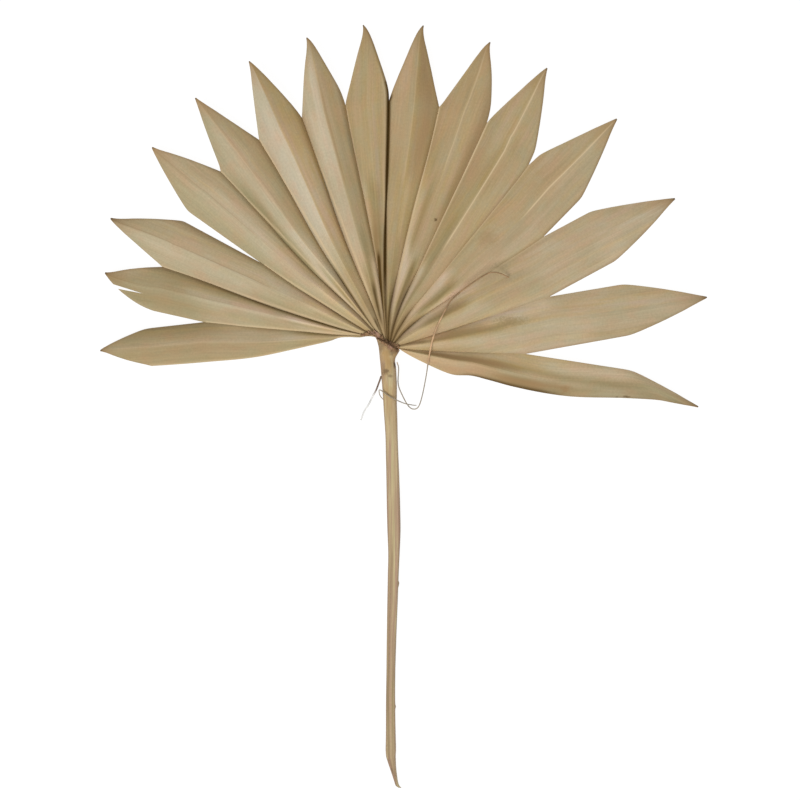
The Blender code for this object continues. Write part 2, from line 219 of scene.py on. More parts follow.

# painted shade in the folds: its strength, how far out it reaches, and how wide it lies on
# the left and right of the fold (mm)
foldShade = (
    (0.0, 0, 0.5, 0.3), (0.6, 70, 0.9, 0.3), (0.9, 150, 1.0, 0.3), (0.6, 70, 1.2, 0.3),
    (0.60, 76, 1.5, 0.3), (0.50, 76, 2.2, 0.4), (0.5, 40, 1.0, 0.4), (0.75, 48, 0.25, 0.9),
    (1.0, 260, 1.5, 1.25), (1.0, 46, 1.5, 1.2), (1.0, 52, 1.3, 0.9), (0.9, 30, 1.2, 0.7),
    (0.9, 30, 1.2, 0.7), (0.0, 60, 0.5, 0.3), (0.0, 32, 0.5, 0.4), (0.0, 0, 0.5, 0.3),
)

# streaks and blotches by leaflet, counted from 0, and by what they add. The "shade" ones are
# painted light and shade, the ones in the dark colour are mostly painted shade in the folds
# and along free edges, and some "brown" and "gold" ones colour that painted shade. Each has
# its place across (share of the width from the left, or two for one that drifts), its half
# width (share), first and last reach (mm) and how much it adds
streaks = {
    0: {
        "gold": ((0.12, 0.22, 14, 66, -0.4), (0.62, 0.2, 14, 66, 0.6)),
        "shade": ((0.9, 0.16, 14, 66, -0.6), (0.62, 0.18, 14, 84, 0.5),
                  ((0.85, 0.97), 0.1, 28, 98, -0.25), (0.92, 0.25, 100, 190, -0.7),
                  (0.4, 0.5, 108, 196, -0.1), (0.9, 0.14, 10, 52, 0.35)),
        "shadeAndDirt": ((0.0, 0.2, 10, 46, 0.42), (0.08, 0.1, 12, 31, 0.6)),
        "grey": ((0.0, 0.3, 10, 46, 0.7), (0.52, 0.08, 80, 165, 0.35)),
        "rose": ((0.45, 0.5, 60, 190, 0.28),),
    },
    1: {
        "shade": ((0.5, 0.12, 22, 76, -0.5), (0.2, 0.3, 14, 66, 0.32), (0.92, 0.13, 12, 66, -1.0),
                  (0.68, 0.16, 10, 78, 1.75), (0.66, 0.15, 60, 150, 0.6), (0.38, 0.16, 58, 112, -0.15),
                  ((0.93, 0.95), 0.06, 60, 120, -0.3), (0.9, 0.17, 90, 176, -0.45),
                  (0.1, 0.15, 110, 190, -0.25), (0.28, 0.26, 110, 222, -0.4)),
        "brown": (((0.3, 0.35), 0.1, 100, 200, 0.2),),
        "gold": ((0.7, 0.25, 14, 66, 0.6),),
    },
    2: {
        "gold": ((0.12, 0.22, 14, 66, -0.4), (0.8, 0.28, 14, 70, 0.7)),
        "shade": (((0.36, 0.4), 0.2, 66, 200, 0.25), (0.4, 0.2, 16, 62, -0.35),
                  (0.62, 0.12, 15, 190, 0.25), ((0.64, 0.66), 0.24, 12, 66, 0.7),
                  (0.2, 0.2, 50, 105, -0.22), (0.95, 0.07, 60, 160, -0.3)),
        "rose": ((0.06, 0.08, 20, 150, 0.3),),
    },
    3: {
        "gold": ((0.12, 0.22, 14, 66, -0.4), (0.88, 0.18, 14, 66, 0.4), (0.18, 0.22, 14, 70, -0.65),
                 (0.78, 0.28, 14, 66, 0.75)),
        "shade": (((0.4, 0.42), 0.2, 12, 195, 0.3), (0.62, 0.12, 20, 185, 0.35),
                  ((0.64, 0.68), 0.22, 12, 66, 0.7), (0.94, 0.1, 14, 66, 0.6),
                  (0.95, 0.05, 64, 110, -0.25)),
        "grey": ((0.35, 0.3, 50, 120, 0.3),),
    },
    4: {
        "shade": (((0.45, 0.4), 0.18, 40, 110, 0.5), (0.46, 0.14, 24, 74, -0.7),
                  ((0.38, 0.4), 0.2, 90, 200, 0.28), ((0.67, 0.66), 0.14, 14, 100, 0.62),
                  (0.88, 0.14, 24, 70, 0.5), (0.2, 0.22, 20, 78, 0.8), (0.06, 0.15, 10, 160, -0.75),
                  (0.62, 0.1, 70, 190, 0.25)),
        "gold": ((0.12, 0.2, 14, 66, -0.9), (0.66, 0.1, 14, 66, 0.3), (0.62, 0.2, 18, 62, 0.3)),
        "rose": ((0.52, 0.07, 100, 205, 0.45),),
        "grey": ((0.55, 0.4, 50, 150, 0.25),),
    },
    5: {
        "shadeAndDirt": ((0.0, 0.19, 8, 66, 0.38), ((0.62, 0.66), 0.1, 9, 19, 0.7)),
        "shade": ((0.0, 0.17, 8, 66, -1.0), ((0.36, 0.42), 0.2, 14, 62, -0.3), (0.45, 0.3, 60, 200, 0.25),
                  ((0.95, 0.96), 0.05, 35, 120, -0.3), (0.72, 0.28, 52, 160, 0.38)),
        "grey": (((0.25, 0.22), 0.09, 58, 190, 0.4),),
        "brown": (((0.4, 0.55), 0.35, 10, 36, 0.35),),
        "gold": (((0.55, 0.65), 0.25, 18, 62, 0.25), (0.6, 0.32, 40, 175, 0.7),
                 (0.12, 0.18, 14, 66, -0.4)),
        "rose": ((0.55, 0.07, 90, 205, 0.25),),
    },
    6: {
        "shadeAndDirt": (((0.38, 0.6), 0.15, 7, 44, 0.85),),
        "shade": (((0.42, 0.5), 0.24, 12, 58, -0.6), ((0.94, 0.92), 0.22, 10, 60, 1.8),
                  (0.68, 0.12, 28, 84, -0.5), (0.4, 0.35, 98, 212, 0.35),
                  ((0.95, 0.96), 0.05, 40, 120, -0.25)),
        "brown": ((0.5, 0.5, 8, 30, 0.25), (0.54, 0.03, 95, 190, 0.45)),
        "gold": ((0.6, 0.4, 14, 60, 0.3),),
        "grey": ((0.3, 0.35, 55, 112, 0.2),),
    },
    7: {
        "shadeAndDirt": (((0.11, 0.4), 0.16, 20, 62, 2.0), ((0.1, 0.3), 0.2, 12, 50, 0.6)),
        "brown": (((0.15, 0.42), 0.28, 16, 92, 0.6), (0.5, 0.6, 8, 30, 0.4)),
        "shade": (((0.18, 0.36), 0.36, 10, 80, -1.3), (0.08, 0.12, 50, 116, 0.5),
                  (0.4, 0.18, 52, 118, -0.5), ((0.74, 0.8), 0.12, 22, 66, 0.7),
                  ((0.62, 0.64), 0.16, 60, 110, -0.4)),
        "seam": (((0.88, 0.91), 0.03, 60, 186, 0.8),),
        "gold": (((0.6, 0.62), 0.08, 100, 190, 0.3), ((0.75, 0.8), 0.22, 14, 66, 0.45)),
    },
    8: {
        "shade": ((0.4, 0.32, 12, 62, -0.25), (0.64, 0.1, 58, 115, 0.55), (0.2, 0.2, 150, 214, 0.25),
                  (0.7, 0.3, 158, 214, -0.25)),
        "gold": ((0.2, 0.25, 14, 105, -0.4), (0.66, 0.1, 60, 190, 0.3), (0.8, 0.25, 100, 214, 0.35)),
        "brown": ((0.78, 0.17, 95, 214, 0.4),),
        "rose": ((0.78, 0.17, 85, 214, 0.45), (0.2, 0.2, 105, 214, 0.35)),
        "grey": (((0.42, 0.44), 0.05, 95, 200, 0.3),),
    },
    9: {
        "shade": (((0.16, 0.18), 0.24, 10, 70, 1.2), ((0.1, 0.12), 0.12, 12, 120, 0.7),
                  (0.34, 0.1, 45, 120, -0.5), (0.42, 0.12, 14, 62, 0.5), ((0.66, 0.7), 0.2, 12, 62, -1.1),
                  (0.92, 0.12, 16, 62, 0.5), (0.91, 0.1, 66, 196, -0.55)),
        "rose": ((0.3, 0.3, 108, 212, 0.25), (0.86, 0.12, 100, 190, 0.3)),
        "gold": ((0.6, 0.5, 16, 60, 0.18), (0.68, 0.08, 85, 165, 0.5)),
        "brown": ((0.92, 0.09, 66, 196, 0.3),),
    },
    10: {
        "shade": ((0.14, 0.18, 14, 62, 1.2), (0.35, 0.12, 14, 105, -0.4), (0.3, 0.28, 125, 212, 0.3),
                  (0.65, 0.16, 108, 165, -0.22)),
        "gold": ((0.25, 0.12, 60, 195, 0.15),),
        "grey": ((0.8, 0.18, 90, 190, 0.12),),
        "rose": ((0.12, 0.1, 95, 160, 0.4),),
    },
    11: {
        "gold": ((0.9, 0.2, 14, 112, 0.5),),
        "shade": ((0.12, 0.24, 10, 66, 1.3), (0.6, 0.18, 20, 64, -1.0), (0.88, 0.14, 22, 66, 0.9),
                  ((0.98, 0.66), 0.1, 18, 50, -0.5)),
        "rose": ((0.25, 0.25, 75, 200, 0.15), (0.38, 0.16, 18, 64, 0.45)),
        "brown": (((0.65, 0.6), 0.12, 76, 124, 0.2),),
        "grey": ((0.75, 0.3, 50, 112, 0.2),),
    },
    12: {
        "shade": ((0.1, 0.14, 8, 84, 0.7), (0.38, 0.14, 18, 64, -0.9),
                  ((0.64, 0.66), 0.2, 58, 116, -0.35), (0.78, 0.28, 140, 214, 0.25)),
        "brown": ((0.3, 0.12, 22, 56, 0.3),),
        "gold": ((0.25, 0.2, 12, 95, 0.45),),
        "rose": (((0.45, 0.5), 0.22, 70, 180, 0.1),),
        "grey": (((0.48, 0.5), 0.05, 160, 208, 0.5),),
    },
    13: {
        "brown": (((0.2, 0.24), 0.16, 24, 70, 0.45),),
        "shade": ((0.12, 0.14, 8, 44, 0.6), (0.36, 0.12, 14, 88, -0.6), (0.1, 0.15, 40, 118, 0.9),
                  (0.9, 0.14, 14, 66, -0.45), (0.7, 0.35, 120, 215, -0.18)),
        "gold": ((0.3, 0.2, 14, 95, 0.45),),
        "grey": ((0.6, 0.1, 28, 92, 0.25),),
        "shadeAndDirt": (((0.05, 0.33), 0.14, 8, 28, 0.45),),
    },
    14: {
        "brown": (((0.1, 0.5), 0.12, 13, 96, 0.85), (0.78, 0.09, 66, 128, 0.6),
                  (0.88, 0.12, 62, 112, 0.45)),
        "shade": (((0.1, 0.5), 0.11, 13, 80, -0.45), ((0.04, 0.02), 0.12, 12, 56, 1.0),
                  ((0.75, 0.8), 0.35, 8, 112, -0.75), (0.76, 0.1, 66, 128, -0.2),
                  ((0.62, 0.6), 0.1, 60, 150, 0.4), ((0.34, 0.54), 0.1, 50, 132, -0.35),
                  ((0.5, 0.6), 0.12, 84, 178, -0.5), (0.2, 0.14, 90, 180, 0.35),
                  ((0.85, 0.9), 0.12, 158, 200, -0.35), (0.5, 0.5, 148, 212, -0.22)),
        "rose": (((0.72, 0.76), 0.26, 8, 84, 0.6),),
        "gold": (((0.4, 0.45), 0.15, 55, 118, 0.35),),
        "shadeAndDirt": ((0.98, 0.07, 38, 128, 0.9),),
        "grey": ((0.85, 0.3, 130, 208, 0.45),),
    },
}


def polar(direction, reach):
    angle = math.radians(direction)
    return Vector((reach * math.cos(angle), reach * math.sin(angle)))


def ramp(value, start, width):
    # from 0 at the start to 1 after the width; a negative width leads the other way
    return min(max((value - start) / width, 0), 1)


def bell(value, centre, width, power=2):
    return math.exp(-(((value - centre) / width) ** power))


def wobble(*place):
    return noise.noise(Vector(place))


def selectOnly(*pieces):
    # the first of them becomes the active one
    bpy.ops.object.select_all(action="DESELECT")
    for piece in reversed(pieces):
        piece.select_set(True)
        bpy.context.view_layer.objects.active = piece


def addWall(made, thickness, offset):
    selectOnly(made)
    wall = made.modifiers.new("wall", "SOLIDIFY")
    wall.thickness = thickness
    wall.offset = offset
    bpy.ops.object.modifier_apply(modifier="wall")


def levelBelow(trees, flat, bare=None):
    # the highest surface under a place (from the hub), or bare where nothing lies there
    start = hub + Vector((flat.x, flat.y, 0.1))   # well above the part
    hits = [tree.ray_cast(start, Vector((0, 0, -1)))[0] for tree in trees]
    return max((hit.z for hit in hits if hit), default=bare)


def streakSums(leaflet, share, reach):
    sums = dict.fromkeys(("shade", "gold", "brown", "grey", "rose", "shadeAndDirt", "seam"), 0.0)
    fade = 0.3   # share of a streak's length over which each end fades
    for kind, group in streaks[leaflet].items():
        for place, wide, first, last, amount in group:
            along = (reach / mm - first) / (last - first)
            if 0 < along < 1:
                start, end = place if isinstance(place, tuple) else (place, place)
                ends = min(along, 1 - along, fade) / fade
                centre = start + (end - start) * along
                sums[kind] += amount * bell(share, centre, wide) * ends * ends * (3 - 2 * ends)
    return sums


def smoothBetween(pairs, at):
    # a smooth curve through (place, value) pairs
    places, values = zip(*pairs)
    k = 0
    while k < len(pairs) - 2 and at > places[k + 1]:
        k += 1

    def rate(n):
        low = max(n - 1, 0)
        high = min(n + 1, len(pairs) - 1)
        return (values[high] - values[low]) / (places[high] - places[low])

    gap = places[k + 1] - places[k]
    t = (at - places[k]) / gap
    start = values[k] * (2 * t**3 - 3 * t**2 + 1) + values[k + 1] * (3 * t**2 - 2 * t**3)
    return start + gap * (rate(k) * (t**3 - 2 * t**2 + t) + rate(k + 1) * (t**3 - t**2))


def rowAt(table, place):
    # a smooth row between the rows of a table that has its places in the first column
    return [smoothBetween([(row[0], row[n]) for row in table], place) for n in range(1, len(table[0]))]


def alongRoot(share):
    points = [Vector(point) * mm for point in rootLine]
    lengths = [(b - a).length for a, b in zip(points, points[1:])]
    left = share * sum(lengths)
    for a, b, length in zip(points, points[1:], lengths):
        if left <= length:
            break
        left -= length
    return a.lerp(b, min(left / length, 1.0))


def foldPoint(fold, reach):
    share, direction, notch, bow = folds[fold][:4]
    step = reach / notch
    outerEdge = {0: leftEdge, len(folds) - 1: rightEdge}.get(fold)
    if outerEdge:
        first = outerEdge[0][0]
        fromHub = first + (notch - first) * step
        return polar(smoothBetween(outerEdge, fromHub), fromHub * mm)
    root = alongRoot(share)
    notchPoint = polar(direction, notch * mm)
    sideways = (notchPoint - root).normalized().orthogonal()
    bowShape = step * (1 - step) ** 2 * 27 / 4   # widest a third of the way out
    aside = bow * mm * bowShape + pullOf(fold, reach * mm)
    return root.lerp(notchPoint, step) + sideways * aside


def pullOf(fold, reach):
    # how far a fold's line leans to the left (m)
    near, far = folds[fold][5:]
    start = min(0.3 + reach / (14 * mm), 1.0)
    end = ramp(reach, folds[fold][2] * mm, -30 * mm)
    shape = near * bell(reach / mm, *blade["pullNear"]) + far * bell(reach / mm, *blade["pullFar"])
    return shape * mm * start * end


def foldLevel(fold, reach):
    rimLevel = folds[fold][4] * mm
    step = min(reach / mm / blade["archReach"], 1.0)
    return rimLevel + (blade["hubLevel"] - rimLevel) * (1 - step) ** blade["archPower"]


def insideBox(place):
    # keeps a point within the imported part's own box
    low, high = cadBox
    return Vector(min(max(n, a), b) for n, a, b in zip(place, low, high))


def bladeRows():
    # reaches of the rows up to the shoulders, then steps of the trimmed part
    reaches = [0.0]
    for low, high in zip(rowReaches, rowReaches[1:]):
        count = max(round((high - low) / blade["rowStep"]), 1)
        reaches += [low + (high - low) * (n + 1) / count for n in range(count)]
    steps = [n / (blade["taperRows"] - 1) for n in range(blade["taperRows"])]
    return reaches, steps


def edgeLine(leaflet, side, reaches, steps):
    # the left (side 0) or right (side 1) edge of a leaflet, from the hub to its tip
    direction, tipReach, *shoulders = leaflets[leaflet][:6]
    tip = polar(direction, tipReach * mm)
    shoulderTurn, shoulderReach = shoulders[2 * side:2 * side + 2]
    shoulder = polar(shoulderTurn, shoulderReach * mm)
    fold = leaflet + side
    notch = folds[fold][2]
    notchPoint = foldPoint(fold, notch)
    bulge = leaflets[leaflet][6 + side] * mm
    pinchStart = blade["pinchStart"]
    points = []
    for reach in reaches:
        if reach <= notch:
            points.append(foldPoint(fold, reach))
        else:
            points.append(notchPoint.lerp(shoulder, (reach - notch) / (shoulderReach - notch)))
    outward = polar(direction + 90 - 180 * side, 1.0)
    for step in steps:
        pinch = blade["pinch"] * max(step - pinchStart, 0.0) * (1 - step) / (1 - pinchStart)
        straight = shoulder.lerp(tip, step)
        width = (shoulder - tip).dot(outward) * (1 - step)
        aside = 4 * step * (1 - step) * bulge - pinch * width
        aside += blade["spikeWidth"] / 2 * step * (1.3 - step) / 0.5
        points.append(straight + outward * aside)
    corner = len(reaches)
    for _ in range(blade["roundPasses"]):
        for row in range(corner - 3, corner + 4):
            if row >= corner or reaches[row] > notch + 4:
                middle = (points[row - 1] + points[row + 1]) / 2
                points[row] = points[row].lerp(middle, 0.5)
    return points


def tipHook(leaflet, step):
    # the leaflet aims past its tip, and the last part bends back to it
    bend = step**6 * (1 - step) / blade["hookPeak"]
    return polar(leaflets[leaflet][0] - 90, finishes[leaflet][8] * mm * bend)


def ridgeDrop(s, fall, soft):
    # how far below the ridge a place across a half lies, as a share of the pleat's
    # height: rounded at the ridge, with part of the drop in a steep fall at the fold
    blunt = math.sqrt(s * s + soft * soft * 0.25) - soft * 0.5
    blunt /= math.sqrt(1 + soft * soft * 0.25) - soft * 0.5
    steep = max((s - blade["fallStart"]) / (1 - blade["fallStart"]), 0.0) ** 1.5
    return (1 - fall) * blunt + fall * (0.35 * s**3 + 0.65 * steep)


def unevenness(leaflet, u, s, half, reach):
    # soft lengthwise channels, and the wave of the free edges
    grow = min(reach / (rowReaches[-1] * mm), 1.0)
    drift = 4.5 * wobble(reach * 22, leaflet * 7.3, (s if u > 0 else -s) * 2.0)
    channels = math.sin(2 * math.pi * (2.4 * s + 0.37 * leaflet) + drift)
    ripple = blade["ripple"] * channels * grow * min(4 * s * (1 - s), 0.6) * half / blade["rippleWidth"]
    wave = wobble(reach * 30, leaflet * 3.1, u * 1.3 + 5.0)
    return ripple, blade["wave"] * wave * grow**2 * s**2


def nearHub(reach):
    return math.exp(-reach / blade["nearReach"])


# pairs named start: mm from the hub, and the mm over which the mark grows (or fades, below 0)
leafMarks = {
    "ridgeLine": 0.4 * mm,     # half width of the line along a ridge
    "lineGrows": 12,           # mm over which that line begins
    "seam": 0.6 * mm,          # half width of the pale seam beside a left fold: the margin's own paler colour with a painted highlight
    "seamPlace": 0.35 * mm,    # least distance of the seam from the fold
    "seamStart": (8, 30),
    "seamStrength": 1.2,
    "darkEdge": 0.9 * mm,      # width of the dark line along a free left edge
    "rightEdgeShade": 1.8 * mm,     # width of the painted shade, in brown, along a right edge
    "rightShadeStart": (35, 50),
    "mostShadedRightEdges": (8, 9, 10, 11),  # leaflets with the deepest painted shade along their right edges, counted from 0
    "tipStart": 0.45,          # where the browner tip begins, share of the trimmed part
    "darkTip": (0.955, 0.035), # where the dark tip starts and over which share it grows
    "tipStrength": 0.75,
    "hueStart": (40, 50),      # nearer to the hub all halves are golden
    "bleached": (-0.45, 0.32), # middle and half width of the bleached band, across (u)
    "hubBrown": 12 * mm,       # reach of the brown at the hub
    "darkFold": 8,             # the fold whose painted shade runs over its whole length
    "darkFoldStart": (30, 16),
    "narrowAt": (88, 16),      # that fold's painted shade is narrower here: middle and half length (mm)
    "rosyStart": (112, -60),   # the last leaflet's rosy lower strip
    "bandStart": (105, -50),   # and the shaded band above it, with its middle and half width
    "band": (-0.25, 0.3),
}


def edgeTone(leaflet, u, toEdge, reach, free):
    # pale (above 0) or dark (below 0) along the left and the right edge of a leaflet: on the
    # left a pale seam with a painted highlight, on the right painted shade
    out = reach / mm
    if u < 0:
        seamPlace = max(pullOf(leaflet, reach), leafMarks["seamPlace"])
        grown = ramp(out, *leafMarks["seamStart"])
        edge = leafMarks["seamStrength"] * finishes[leaflet][4] * grown * (1 - 0.75 * free)
        edge *= bell(toEdge, seamPlace, leafMarks["seam"])
        return edge - 0.3 * free * max(1 - toEdge / leafMarks["darkEdge"], 0.0)
    # painted shade along the right edge, drawn in brown
    brown = 0.5 if leaflet in leafMarks["mostShadedRightEdges"] else 0.3
    brown = 0.2 * free + brown * ramp(out, *leafMarks["rightShadeStart"])
    return -brown * max(1 - toEdge / leafMarks["rightEdgeShade"], 0.0)


def foldShadeAt(fold, u, toEdge, out, tipness):
    # painted shade in a fold: a sharp dark band along the darkest fold, a soft one along the others
    strength, ends, wideLeft, wideRight = foldShade[fold]
    wide = (wideLeft if u > 0 else wideRight) * mm
    darkest = fold == leafMarks["darkFold"]
    if darkest:
        wide *= 1.0 - 0.4 * bell(out, *leafMarks["narrowAt"]) - 0.5 * tipness
        shadeAndDirt = min(1.2 * bell(toEdge, 0, wide, 4), 1.0)
    else:
        shadeAndDirt = 0.85 * bell(toEdge, 0, 1.35 * wide, 1.5)
    shadeAndDirt *= strength * ramp(out, ends, -0.4 * max(ends, 1))
    if darkest:
        shadeAndDirt *= 0.7 + 0.3 * ramp(out, *leafMarks["darkFoldStart"])
        if out > folds[fold][2] + (12 if u > 0 else 2):
            shadeAndDirt *= 0.45 if u > 0 else 0.1
    return shadeAndDirt


def outermostTint(out, u, warm, tone):
    if u > 0:
        inner = ramp(out, *leafMarks["rosyStart"])
        return warm + 0.9 * inner, tone + (0.50 - tone) * inner
    return warm, tone - 0.4 * (bell(u, *leafMarks["band"]) * ramp(out, *leafMarks["bandStart"]))


def leafLook(leaflet, u, s, share, reach, step, width, toEdge):
    # what the leaf's material reads at a point: three colours of four channels
    pale, warm, patchy, ridgeLine = finishes[leaflet][:4]
    toneLeft, toneRight, hueLeft, hueRight = finishes[leaflet][9:]
    out = reach / mm
    near = nearHub(reach)
    fold = leaflet + (1 if u > 0 else 0)
    free = 1.0 if out > folds[fold][2] else 0.0
    sums = streakSums(leaflet, share, reach)
    line = bell(u * width / 2, 0, leafMarks["ridgeLine"])
    line *= ramp(out, ridgeFrom.get(leaflet, 0), leafMarks["lineGrows"])
    edge = min(max(edgeTone(leaflet, u, toEdge, reach, free) + sums["seam"], -1.0), 1.0)
    tipness = max(step - leafMarks["tipStart"], 0.0) / (1 - leafMarks["tipStart"])
    darkTip = ramp(step, *leafMarks["darkTip"]) * leafMarks["tipStrength"]
    # painted shade in the fold, with the dark streaks, most of them painted shade as well
    shadeAndDirt = foldShadeAt(fold, u, toEdge, out, tipness) + sums["shadeAndDirt"]
    # the tone of each half is painted light and shade
    tone = toneLeft if u < 0 else toneRight
    hue = hueLeft if u < 0 else hueRight
    if u == 0:
        tone = (toneLeft + toneRight) / 2
        hue = (hueLeft + hueRight) / 2
    hue *= ramp(out, *leafMarks["hueStart"])
    if leaflet == len(leaflets) - 1:
        warm, tone = outermostTint(out, u, warm, tone)
    tone = min(max(0.5 + 0.5 * (tone + sums["shade"]), 0.0), 1.0)
    bleached = pale * (0.45 + 0.75 * bell(u, *leafMarks["bleached"]))
    # near the hub: a painted warm bounce light, stronger towards each fold, painted brown shade towards
    # the folds, and brown at the very hub
    golden = max(max(hue, 0.0) + near * (0.75 + 0.3 * s) + sums["gold"], 0.0)
    brown = sums["brown"] + (0.55 * bell(reach, 0, leafMarks["hubBrown"]) + 0.22 * near * s)
    grey = max(-hue, 0.0) + sums["grey"]
    return (
        (min(bleached, 1.0), 0.5 + 0.5 * ridgeLine * line, 0.5 + 0.5 * edge, tipness),
        (warm, tone, min(max(shadeAndDirt, darkTip), 1.0), patchy),
        (min(golden, 1.0), min(brown, 1.0), min(grey, 1.0), min(sums["rose"], 1.0)),
    )


def addLeaflet(leaflet, reaches, steps):
    # u runs from -1 at the left fold over 0 at the ridge to 1 at the right fold
    columns = blade["halfColumns"]
    across = [-s for s in reversed(columns)] + list(columns[1:])
    left, right = (edgeLine(leaflet, side, reaches, steps) for side in (0, 1))
    rows = len(left)
    firstTaper = len(reaches)
    shoulderWidth = max((right[n] - left[n]).length for n in (firstTaper - 1, firstTaper))
    slopePairs = [(0.0, blade["hubSlope"]), *zip(slopeReaches, slopes[leaflet])]
    soft, fallLeft, fallRight = finishes[leaflet][5:8]
    bpy.ops.mesh.primitive_grid_add(
        x_subdivisions=len(across) - 1, y_subdivisions=rows - 1, size=2.0, location=(0, 0, 0)
    )
    piece = bpy.context.object
    mesh = piece.data
    veins = []
    looks = []
    for vertex in mesh.vertices:
        u = across[round((vertex.co.x + 1) / 2 * (len(across) - 1))]
        row = round((vertex.co.y + 1) / 2 * (rows - 1))
        trimmed = row >= firstTaper
        step = steps[row - firstTaper] if trimmed else 0.0
        width = (right[row] - left[row]).length
        natural = shoulderWidth if trimmed else width
        reach = left[row].lerp(right[row], 0.5).length
        ridge = 0.5
        if leaflet in ridgePlaces:
            ridge = smoothBetween(ridgePlaces[leaflet], min(reach / mm, 200))
        share = ridge * (1 + u) if u < 0 else ridge + (1 - ridge) * u
        halfShare = ridge if u < 0 else 1 - ridge
        half = natural * halfShare
        s = abs(u) * width / max(natural, 1e-6)   # place across the untrimmed half
        slope = smoothBetween(slopePairs, min(reach / mm, slopeReaches[-1]))
        full = 2 * ridge * (1 - ridge) * natural * math.tan(math.radians(slope))
        leftLevel = foldLevel(leaflet, left[row].length)
        rightLevel = foldLevel(leaflet + 1, right[row].length)
        level = leftLevel + (rightLevel - leftLevel) * share
        near = nearHub(reach)
        fall = (fallLeft if u < 0 else fallRight) * (1 - near) + blade["hubFall"] * near
        top = full
        if trimmed:
            top -= (1 - blade["tipLift"]) * full * max(1 - width / natural, 0.0) ** 1.4
        ripple, wave = unevenness(leaflet, u, s, half, reach)
        height = level + top - full * ridgeDrop(s, fall, soft) + ripple + wave
        flat = left[row].lerp(right[row], share) + tipHook(leaflet, step)
        vertex.co = hub + Vector((*flat, max(height + blade["middle"], blade["restLevel"])))
        veins.append(((s if u > 0 else -s) * half + leaflet * 0.1, reach))
        toEdge = (1 - abs(u)) * width * halfShare
        looks.append(leafLook(leaflet, u, s, share, reach, step, width, toEdge))
    corners = [loop.vertex_index for loop in mesh.loops]
    mesh.uv_layers[0].name = "veins"
    mesh.uv_layers["veins"].data.foreach_set("uv", [n for k in corners for n in veins[k]])
    for name, colours in zip(("leafFinish", "leafTint", "leafHue"), zip(*looks)):
        layer = mesh.attributes.new(name, "FLOAT_COLOR", "CORNER")
        layer.data.foreach_set("color", [n for k in corners for n in colours[k]])
    return piece


tear = {
    "mouth": (168.7, 193),     # direction and reach (mm) where it opens at the tip
    "end": (169.2, 165),
    "width": 3.2 * mm,
    "depth": 30 * mm,
}


def cutTear(made):
    # a three-sided wedge, thin at the tear's end, is taken out of the second leaflet
    mouth = polar(tear["mouth"][0], tear["mouth"][1] * mm)
    end = polar(tear["end"][0], tear["end"][1] * mm)
    inward = end - mouth
    turned = math.atan2(inward.y, inward.x) - math.pi / 2
    selectOnly()
    bpy.ops.mesh.primitive_cylinder_add(
        vertices=3, radius=1.0, depth=tear["depth"],
        location=hub + Vector((*mouth.lerp(end, 1 / 3), 0.0)), rotation=(0, 0, turned),
    )
    wedge = bpy.context.object
    wedge.scale = (tear["width"] / math.sqrt(3), inward.length / 1.5, 1.0)
    selectOnly(made)
    cut = made.modifiers.new("tear", "BOOLEAN")
    cut.operation = "DIFFERENCE"
    cut.object = wedge
    bpy.ops.object.modifier_apply(modifier="tear")
    bpy.data.objects.remove(wedge, do_unlink=True)


def buildBlade():
    reaches, steps = bladeRows()
    selectOnly()
    pieces = [addLeaflet(leaflet, reaches, steps) for leaflet in range(len(leaflets))]
    selectOnly(*pieces)
    bpy.ops.object.join()
    made = bpy.context.object
    made.name = made.data.name = "palmFan"
    bpy.ops.object.mode_set(mode="EDIT")
    bpy.ops.mesh.select_all(action="SELECT")
    bpy.ops.mesh.remove_doubles(threshold=0.02 * mm)
    bpy.ops.mesh.normals_make_consistent(inside=False)
    bpy.ops.object.mode_set(mode="OBJECT")
    if sum(face.normal.z * face.area for face in made.data.polygons) < 0:
        made.data.flip_normals()
    addWall(made, blade["thickness"], 0.0)
    for vertex in made.data.vertices:
        vertex.co = insideBox(vertex.co)
    cutTear(made)
    bpy.ops.object.shade_smooth_by_angle(angle=math.radians(50))
    print("fan of", len(leaflets), "leaflets,", len(made.data.polygons), "faces")
    return made


stem = {
    "sides": 56,
    "cuts": (100, 2),          # cuts along the stem, then between them
    "flatUntil": -272.9,       # mm from the hub where the stem leaves the surface
    "flatShare": 0.7,          # up to there a section is flat below this depth
    "grooveDepth": 0.16 * mm,
    "grooves": 13,
    "wider": 0.4 * mm,         # added to each side for the outer fibres
    "widerFrom": (-274, 5),    # where they begin and end: place, and mm over which they do
    "widerUntil": (-32, -14),
    "outerEdge": 0.72,         # share of the half width where the painted shade along the sides begins
    "worn": (-70, 55),         # where the orange of the head begins, mm over which it grows
    "cutUntil": (-274.5, -2),  # the dark cut at the lower end, its own darker face with painted shade along its left edge, and its place across
    "cutAcross": (-0.62, 0.38),
    "nubs": ((-160.0, 0.75), (-240.7, 0.5)),   # scars on the right edge: place, height (mm)
    "nubLength": 1.3,
    "ringPlaces": (            # share of the rings, then their place: closer at both ends
        (0.0, -294.4), (0.14, -272.0), (0.62, -40.0), (0.86, -3.6), (0.9, -2.2), (0.92, -1.8), (1.0, 10.0),
    ),
    "toneColumns": (-0.8, -0.4, 0.0, 0.4, 0.8),   # places across, share of the half width
}

